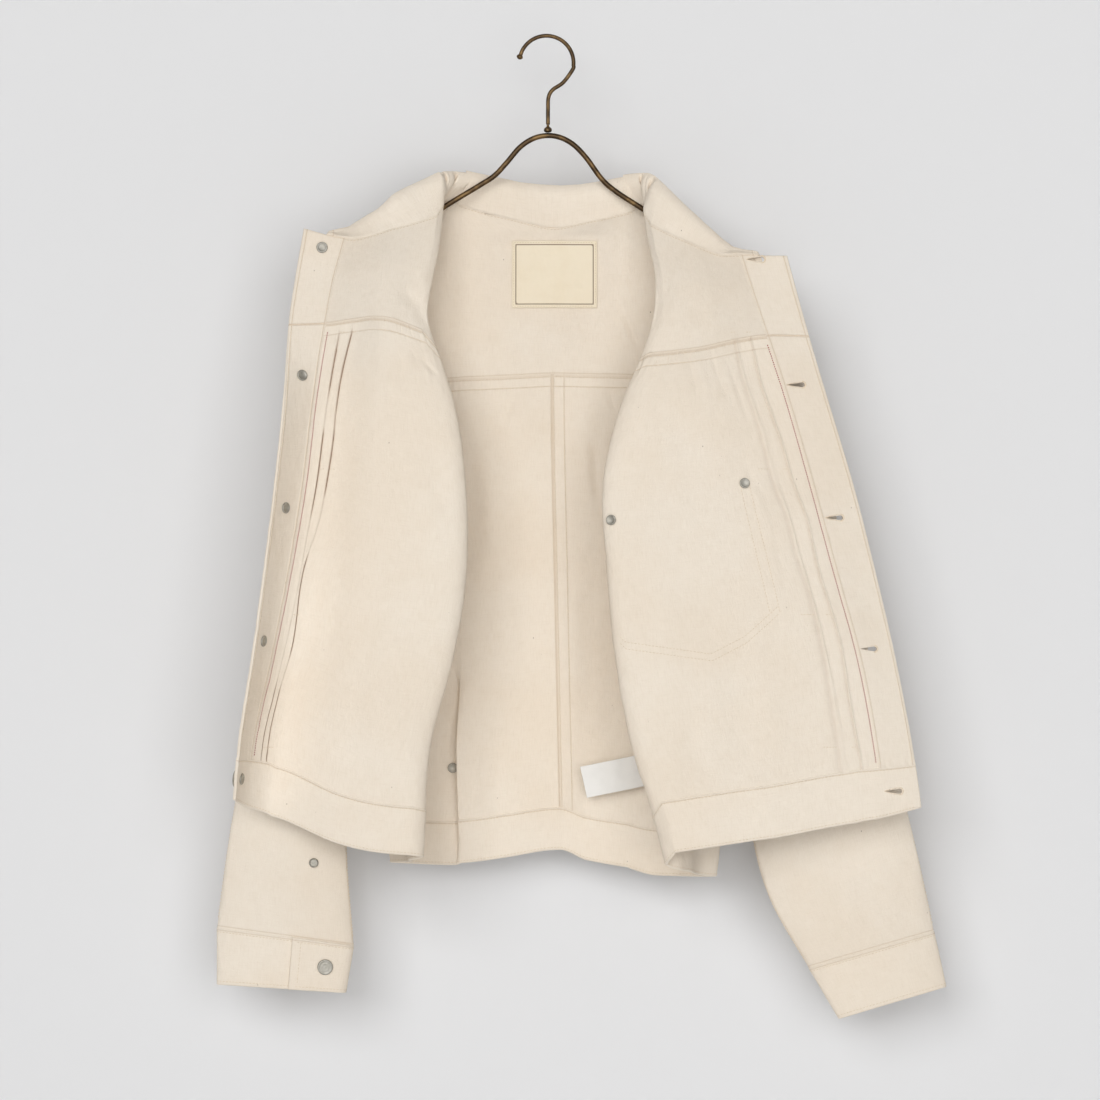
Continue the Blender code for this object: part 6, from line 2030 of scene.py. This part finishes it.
def make_edge_sewing():
    """Sewing on the collar, sleeves, cuffs, strap and neck label, and the thread round each buttonhole."""
    rows = []
    stations = np.interp(np.linspace(0, 1, 330), COLLAR_SPREAD[0], COLLAR_SPREAD[1])
    across = np.linspace(0, 1, 34)
    middle, normal, run, down = collar_surface(stations, across)
    for j in (31,):
        for face in (-1, 1):
            rows.append((middle[4:-4, j] + face * normal[4:-4, j] * (COLLAR / 2 + 0.08), face * normal[4:-4, j]))
    for i in (5, -6):
        for face in (-1, 1):
            rows.append((middle[i, 1:-2] + face * normal[i, 1:-2] * (COLLAR / 2 + 0.08), face * normal[i, 1:-2]))
    for side in ("left", "right"):
        begin = np.radians(LAP_START[side])
        turn = np.linspace(begin + 0.05, begin + 2 * math.pi + np.radians(LAP) - 0.05, 250)[:, None]
        share = np.linspace(0.012, 1.0, 30)[None, :]
        middle, normal = cuff_surface(side, turn, share)
        for j in (2, 27):
            for face in (-1, 1):
                rows.append((middle[:, j] + face * normal[:, j] * (CUFF / 2 + 0.08), face * normal[:, j]))
        for i in (3, -4):
            rows.append((middle[i, 2:-2] + normal[i, 2:-2] * (CUFF / 2 + 0.08), normal[i, 2:-2]))
        for start in (0.0, math.pi):
            for inset in (0.045, 0.16):
                turn = np.full((2, 1), start + inset) + np.array([[0.0], [0.02]])
                share = np.linspace(0.01, 0.99, 260)[None, :]
                middle, normal = sleeve_surface(side, turn, share)
                rows.append((middle[0] + normal[0] * (PANEL / 2 + 0.08), normal[0]))
    size = bpy.context.scene.jacket_sewing
    edges = sewn_rows("sewing_edges", rows, size.pitch * 1000, size.length * 1000, size.thickness * 500, "cotton_thread")
    rows = []
    at = np.linspace(-0.97, 0.97, 160)
    for sign in (-1, 1):
        half = (STRAP_HALF_WIDTH * np.interp(at, STRAP_AT, STRAP_TAPER) - 2.5) * sign
        line = placed(at * STRAP_REACH, STRAP_DROP + 2 * (at + 1) + half, np.interp(at, (-1, 1), STRAP_Y))
        bow = 0.3 * waves(at * STRAP_REACH, STRAP_DROP + 2 * (at + 1) + half, 38.0, 41) * (1 - at**6)
        for face in (-1, 1):
            shift = np.stack([0 * at, bow + face * (STRAP / 2 + 0.08), 0 * at], 1)
            rows.append((line + shift, np.tile((0.0, face, 0.0), (len(at), 1))))
    sewn_rows("sewing_strap", rows, 3.1, 2.4, 0.26, "cotton_thread")
    rows = []
    for x, drop in (
        (np.linspace(LABEL_X[0] + 1.5, LABEL_X[1] - 1.5, 80), np.full(80, LABEL_DROP[0] + 1.5)),
        (np.linspace(LABEL_X[0] + 1.5, LABEL_X[1] - 1.5, 80), np.full(80, LABEL_DROP[1] - 1.5)),
        (np.full(80, LABEL_X[0] + 1.5), np.linspace(LABEL_DROP[0] + 1.5, LABEL_DROP[1] - 1.5, 80)),
        (np.full(80, LABEL_X[1] - 1.5), np.linspace(LABEL_DROP[0] + 1.5, LABEL_DROP[1] - 1.5, 80)),
    ):
        station = station_at(x, drop, SIDE_BACK, LAST - SIDE_BACK)
        rows += body_rows(station, drop, LABEL, lift=-(PANEL / 2 + LAID_GAP + LABEL / 2), faces=(-1,))
    sewn_rows("sewing_label", rows, 2.4, 1.8, 0.18, "label_thread")
    rows = []
    for at in BUTTONHOLES:
        middle, along, up, normal = hole_frame(at)
        thickness = WAISTBAND if at is BUTTONHOLES[-1] else PLACKET
        x, y = keyhole(at[2] + 0.6, at[3] + 0.7)
        inner = middle + x[:, None] * along + y[:, None] * up
        x, y = keyhole(at[2] + 4.6, at[3] + 4.2)
        outer = middle + x[:, None] * along + y[:, None] * up
        for face in (-1, 1):
            lift = face * normal * (thickness / 2 + 0.05)
            fine = np.linspace(0, KEYHOLE_SIDES, 72, endpoint=False)
            turn = np.arange(KEYHOLE_SIDES + 1)
            a = np.stack([np.interp(fine, turn, np.append(inner[:, k], inner[0, k])) for k in range(3)], 1) + lift
            b = np.stack([np.interp(fine, turn, np.append(outer[:, k], outer[0, k])) for k in range(3)], 1) + lift
            up_way = np.tile(face * normal, (2, 1))
            rows += [(np.stack([p, q]), up_way) for p, q in zip(a, b)]
    lengths = [np.linalg.norm(points[1] - points[0]) for points, _ in rows]
    buttonhole_thread("sewing_buttonholes", rows, min(lengths))


def buttonhole_thread(name, rows, shortest):
    """Short close stitches that run out from a buttonhole's edge."""
    cut = [(points[0] + (points[1] - points[0]) * np.array([[0.0], [0.96]]), normal) for points, normal in rows]
    return sewn_rows(name, cut, shortest * 0.9, shortest * 0.88, 0.24, "cotton_thread")


# ---------------------------------------------------------------- the add-on


class JacketColours(bpy.types.PropertyGroup):
    """The cloth's, thread's and metal's colours."""

    def colour(name, description, default):
        return bpy.props.FloatVectorProperty(
            name=name, description=description, subtype="COLOR", size=3, min=0.0, max=1.0, default=default
        )

    cloth: colour("Cloth", "Unbleached cotton where it is cleanest", (0.930, 0.838, 0.716))
    cloth_shade: colour("Cloth shade", "Unbleached cotton where it is deepest", (0.905, 0.800, 0.668))
    thread: colour("Thread", "Cotton sewing thread", (0.85, 0.72, 0.55))
    red_thread: colour("Selvedge", "The thread woven in along the cloth's edge", (0.40, 0.03, 0.05))
    label: colour("Neck label", "The bare woven label", (0.87, 0.77, 0.60))
    care_label: colour("Care label", "The satin tape", (0.86, 0.85, 0.82))
    nickel: colour("Nickel", "Tack buttons and rivets", (0.42, 0.40, 0.35))
    bronze: colour("Bronze", "The hanger's wire", (0.075, 0.048, 0.026))
    wall: colour("Wall", "The wall behind and the floor", (0.782, 0.782, 0.787))

    del colour


class JacketSewing(bpy.types.PropertyGroup):
    """The sizes of the stitches."""

    pitch: bpy.props.FloatProperty(
        name="Stitch pitch", description="From one stitch to the next", default=0.0031, unit="LENGTH", min=0.001
    )
    length: bpy.props.FloatProperty(
        name="Stitch length", description="The part of a stitch that shows", default=0.0024, unit="LENGTH", min=0.0005
    )
    thickness: bpy.props.FloatProperty(
        name="Thread thickness", description="The thread's diameter", default=0.00052, unit="LENGTH", min=0.0001
    )


class JacketLight(bpy.types.PropertyGroup):
    """The studio's lamps and the wall's distance."""

    key: bpy.props.FloatProperty(name="Key light", description="The lamp at the upper left", default=345.0, min=0.0)
    fill: bpy.props.FloatProperty(name="Fill light", description="The wide lamp in front", default=137.0, min=0.0)
    ambient: bpy.props.FloatProperty(name="Ambient", description="The room's own light", default=0.18, min=0.0)
    wall_gap: bpy.props.FloatProperty(
        name="Wall gap", description="From the hanger to the wall behind it", default=0.095, unit="LENGTH", min=0.05
    )


class JACKET_OT_finishes(bpy.types.Operator):
    """Makes every material and finds the pleats on the cloth"""

    bl_idname = "jacket.finishes"
    bl_label = "Cloth, thread and metal finishes"

    def execute(self, context):
        global PLEAT_DROPS, PLEATS_AT, GIRTH_RUN
        tones = context.scene.jacket_colours
        cloth_finish("ecru_denim", tuple(tones.cloth), tuple(tones.cloth_shade))
        thread_finish("cotton_thread", tuple(tones.thread), tuple(0.8 * value for value in tones.thread))
        thread_finish("label_thread", (0.74, 0.62, 0.42), (0.60, 0.48, 0.30))
        thread_finish("red_thread", tuple(tones.red_thread), tuple(0.55 * value for value in tones.red_thread))
        tape_finish("neck_label", tuple(tones.label), (0.80, 0.68, 0.49), 0.0007, 0.1)
        tape_finish("care_label", tuple(tones.care_label), (0.70, 0.69, 0.66), 0.0005, 0.3)
        metal_finish("nickel", tuple(tones.nickel), (0.52, 0.50, 0.45), 0.5, 0.2, 260.0)
        metal_finish("bronze", tuple(tones.bronze), (0.20, 0.125, 0.055), 0.34, 0.22, 90.0)
        paint_finish("wall_paint", tuple(tones.wall))
        PLEAT_DROPS = np.linspace(240, 690, 90)
        PLEATS_AT = pleat_tables(PLEAT_DROPS)
        fine = np.linspace(0, LAST, 8 * LAST + 1)
        line = body(fine, np.full(fine.shape, GIRTH_DROP))
        run = np.append(0, np.cumsum(np.linalg.norm(np.diff(line, axis=0), axis=1)))
        GIRTH_RUN = run[::8]
        return {"FINISHED"}


PLEAT_DROPS = None
PLEATS_AT = None
GIRTH_RUN = None


class JACKET_OT_fronts(bpy.types.Operator):
    """Makes both fronts and their yokes, folded back with the inside showing"""

    bl_idname = "jacket.fronts"
    bl_label = "Fronts"

    def execute(self, context):
        make_fronts()
        return {"FINISHED"}


class JACKET_OT_plackets(bpy.types.Operator):
    """Makes the plackets, with buttonholes cut through the right-hand one"""

    bl_idname = "jacket.plackets"
    bl_label = "Plackets"

    def execute(self, context):
        make_plackets()
        return {"FINISHED"}


class JACKET_OT_back(bpy.types.Operator):
    """Makes the back yoke and both back panels"""

    bl_idname = "jacket.back"
    bl_label = "Back"

    def execute(self, context):
        make_backs()
        return {"FINISHED"}


class JACKET_OT_waistband(bpy.types.Operator):
    """Makes the waistband round the hem"""

    bl_idname = "jacket.waistband"
    bl_label = "Waistband"

    def execute(self, context):
        make_waistband()
        return {"FINISHED"}


class JACKET_OT_collar(bpy.types.Operator):
    """Makes the open collar, rolled over along its top"""

    bl_idname = "jacket.collar"
    bl_label = "Collar"

    def execute(self, context):
        make_collar()
        return {"FINISHED"}


class JACKET_OT_sleeves(bpy.types.Operator):
    """Makes both sleeves and their cuffs"""

    bl_idname = "jacket.sleeves"
    bl_label = "Sleeves and cuffs"

    def execute(self, context):
        make_sleeves()
        make_cuffs()
        return {"FINISHED"}


class JACKET_OT_trim(bpy.types.Operator):
    """Makes the chest pocket, the back strap and the bare labels"""

    bl_idname = "jacket.trim"
    bl_label = "Pocket, strap and labels"

    def execute(self, context):
        make_pocket()
        make_strap()
        make_labels()
        return {"FINISHED"}


class JACKET_OT_metal(bpy.types.Operator):
    """Makes the tack buttons, the rivets and the cuff buttons"""

    bl_idname = "jacket.metal"
    bl_label = "Buttons and rivets"

    def execute(self, context):
        make_studs()
        make_sleeve_studs()
        return {"FINISHED"}


class JACKET_OT_hanger(bpy.types.Operator):
    """Makes the wire hanger"""

    bl_idname = "jacket.hanger"
    bl_label = "Hanger"

    def execute(self, context):
        make_hanger()
        return {"FINISHED"}


class JACKET_OT_sewing(bpy.types.Operator):
    """Sews every seam, the pleats, the selvedge and the buttonholes"""

    bl_idname = "jacket.sewing"
    bl_label = "Sewing"

    def execute(self, context):
        make_sewing()
        make_edge_sewing()
        return {"FINISHED"}


class JACKET_OT_cut(bpy.types.Operator):
    """A step that does nothing: it declares no piece and no size"""

    bl_idname = "jacket.cut"
    bl_label = "Cut sizes"

    def execute(self, context):
        return {"FINISHED"}


class JACKET_OT_stage(bpy.types.Operator):
    """Makes the wall, the floor, the lamps and the camera"""

    bl_idname = "jacket.stage"
    bl_label = "Stage"

    def execute(self, context):
        make_stage(context.scene)
        make_lights(context.scene)
        make_camera(context.scene)
        return {"FINISHED"}


COVE_RADIUS = 0.35
FLOOR_DROP = 1.75


def make_stage(scene):
    """A wall that curves into a floor: a straight run, a quarter round and a straight run, swept sideways."""
    wall = scene.jacket_light.wall_gap
    turn = np.linspace(0, math.pi / 2, 24)
    y = np.concatenate([[wall], wall - COVE_RADIUS + COVE_RADIUS * np.cos(turn), [-5.0]])
    z = np.concatenate([[1.6], -FLOOR_DROP + COVE_RADIUS - COVE_RADIUS * np.sin(turn), [-FLOOR_DROP]])
    x = np.linspace(-4.0, 4.0, 3)
    grid = np.stack(np.broadcast_arrays(x[:, None], y[None, :], z[None, :]), axis=-1)
    mesh = bpy.data.meshes.new("wall_and_floor")
    mesh.from_pydata(grid.reshape(-1, 3).tolist(), [], grid_faces(3, len(y), 0, flip=True).tolist())
    mesh.shade_smooth()
    mesh.materials.append(FINISHES["wall_paint"])
    made = bpy.data.objects.new("wall_and_floor", mesh)
    scene.collection.objects.link(made)


# Each lamp: its place, the point it faces, its width and height in metres, its power's name, its share and colour.
LAMPS = (
    ("lamp_key", (-3.0, -9.0, 2.6), (0.0, 0.0, -0.45), 4.6, 4.6, "key", 1.0, (0.98, 0.99, 1.0)),
    ("lamp_fill", (0.8, -5.2, -0.35), (0.0, 0.0, -0.5), 3.6, 3.6, "fill", 1.0, (0.99, 0.995, 1.0)),
)


def make_lights(scene):
    sizes = scene.jacket_light
    for name, place, target, width, height, power, share, colour in LAMPS:
        light = bpy.data.lights.new(name, "AREA")
        light.shape = "RECTANGLE"
        light.size = width
        light.size_y = height
        light.energy = getattr(sizes, power) * share
        light.color = colour
        made = bpy.data.objects.new(name, light)
        made.location = place
        made.rotation_euler = (Vector(target) - Vector(place)).to_track_quat("-Z", "Y").to_euler()
        scene.collection.objects.link(made)
    world = bpy.data.worlds.new("room")
    world.use_nodes = True
    background = world.node_tree.nodes["Background"]
    background.inputs["Color"].default_value = (1.0, 0.955, 0.90, 1.0)
    background.inputs["Strength"].default_value = sizes.ambient
    scene.world = world
    scene.view_settings.view_transform = "Standard"


FIELD_WIDTH = 990.0


def make_camera(scene):
    """A camera square-on to the hanger's plane, from the point that the tables are seen from."""
    camera = bpy.data.cameras.new("camera")
    camera.sensor_width = 36.0
    camera.lens = 36.0 * VIEW_DISTANCE / FIELD_WIDTH
    camera.dof.use_dof = False
    camera.clip_end = 50.0
    made = bpy.data.objects.new("camera", camera)
    made.location = (VIEW_X * MM, -VIEW_DISTANCE * MM, -VIEW_DROP * MM)
    made.rotation_euler = (math.pi / 2, 0.0, 0.0)
    scene.collection.objects.link(made)
    scene.camera = made


class JACKET_PT_panel(bpy.types.Panel):
    """The jacket's pieces and settings in the sidebar"""

    bl_label = "Jacket"
    bl_idname = "JACKET_PT_panel"
    bl_space_type = "VIEW_3D"
    bl_region_type = "UI"
    bl_category = "Jacket"

    def draw(self, context):
        for group in (context.scene.jacket_colours, context.scene.jacket_sewing, context.scene.jacket_light):
            box = self.layout.box()
            for name in group.__annotations__:
                box.prop(group, name)
        for operator in OPERATORS:
            self.layout.operator(operator.bl_idname)


GROUPS = (
    ("jacket_colours", JacketColours),
    ("jacket_sewing", JacketSewing),
    ("jacket_light", JacketLight),
)
OPERATORS = (
    JACKET_OT_finishes,
    JACKET_OT_fronts,
    JACKET_OT_plackets,
    JACKET_OT_back,
    JACKET_OT_waistband,
    JACKET_OT_collar,
    JACKET_OT_sleeves,
    JACKET_OT_trim,
    JACKET_OT_metal,
    JACKET_OT_hanger,
    JACKET_OT_sewing,
    JACKET_OT_cut,
    JACKET_OT_stage,
)


def register():
    for name, group in GROUPS:
        bpy.utils.register_class(group)
        setattr(bpy.types.Scene, name, bpy.props.PointerProperty(type=group))
    for operator in (*OPERATORS, JACKET_PT_panel):
        bpy.utils.register_class(operator)


def unregister():
    for operator in (JACKET_PT_panel, *OPERATORS[::-1]):
        bpy.utils.unregister_class(operator)
    for name, group in GROUPS[::-1]:
        delattr(bpy.types.Scene, name)
        bpy.utils.unregister_class(group)


def main():
    register()
    for operator in OPERATORS:
        group, name = operator.bl_idname.split(".")
        getattr(getattr(bpy.ops, group), name)()


if __name__ == "__main__":
    main()
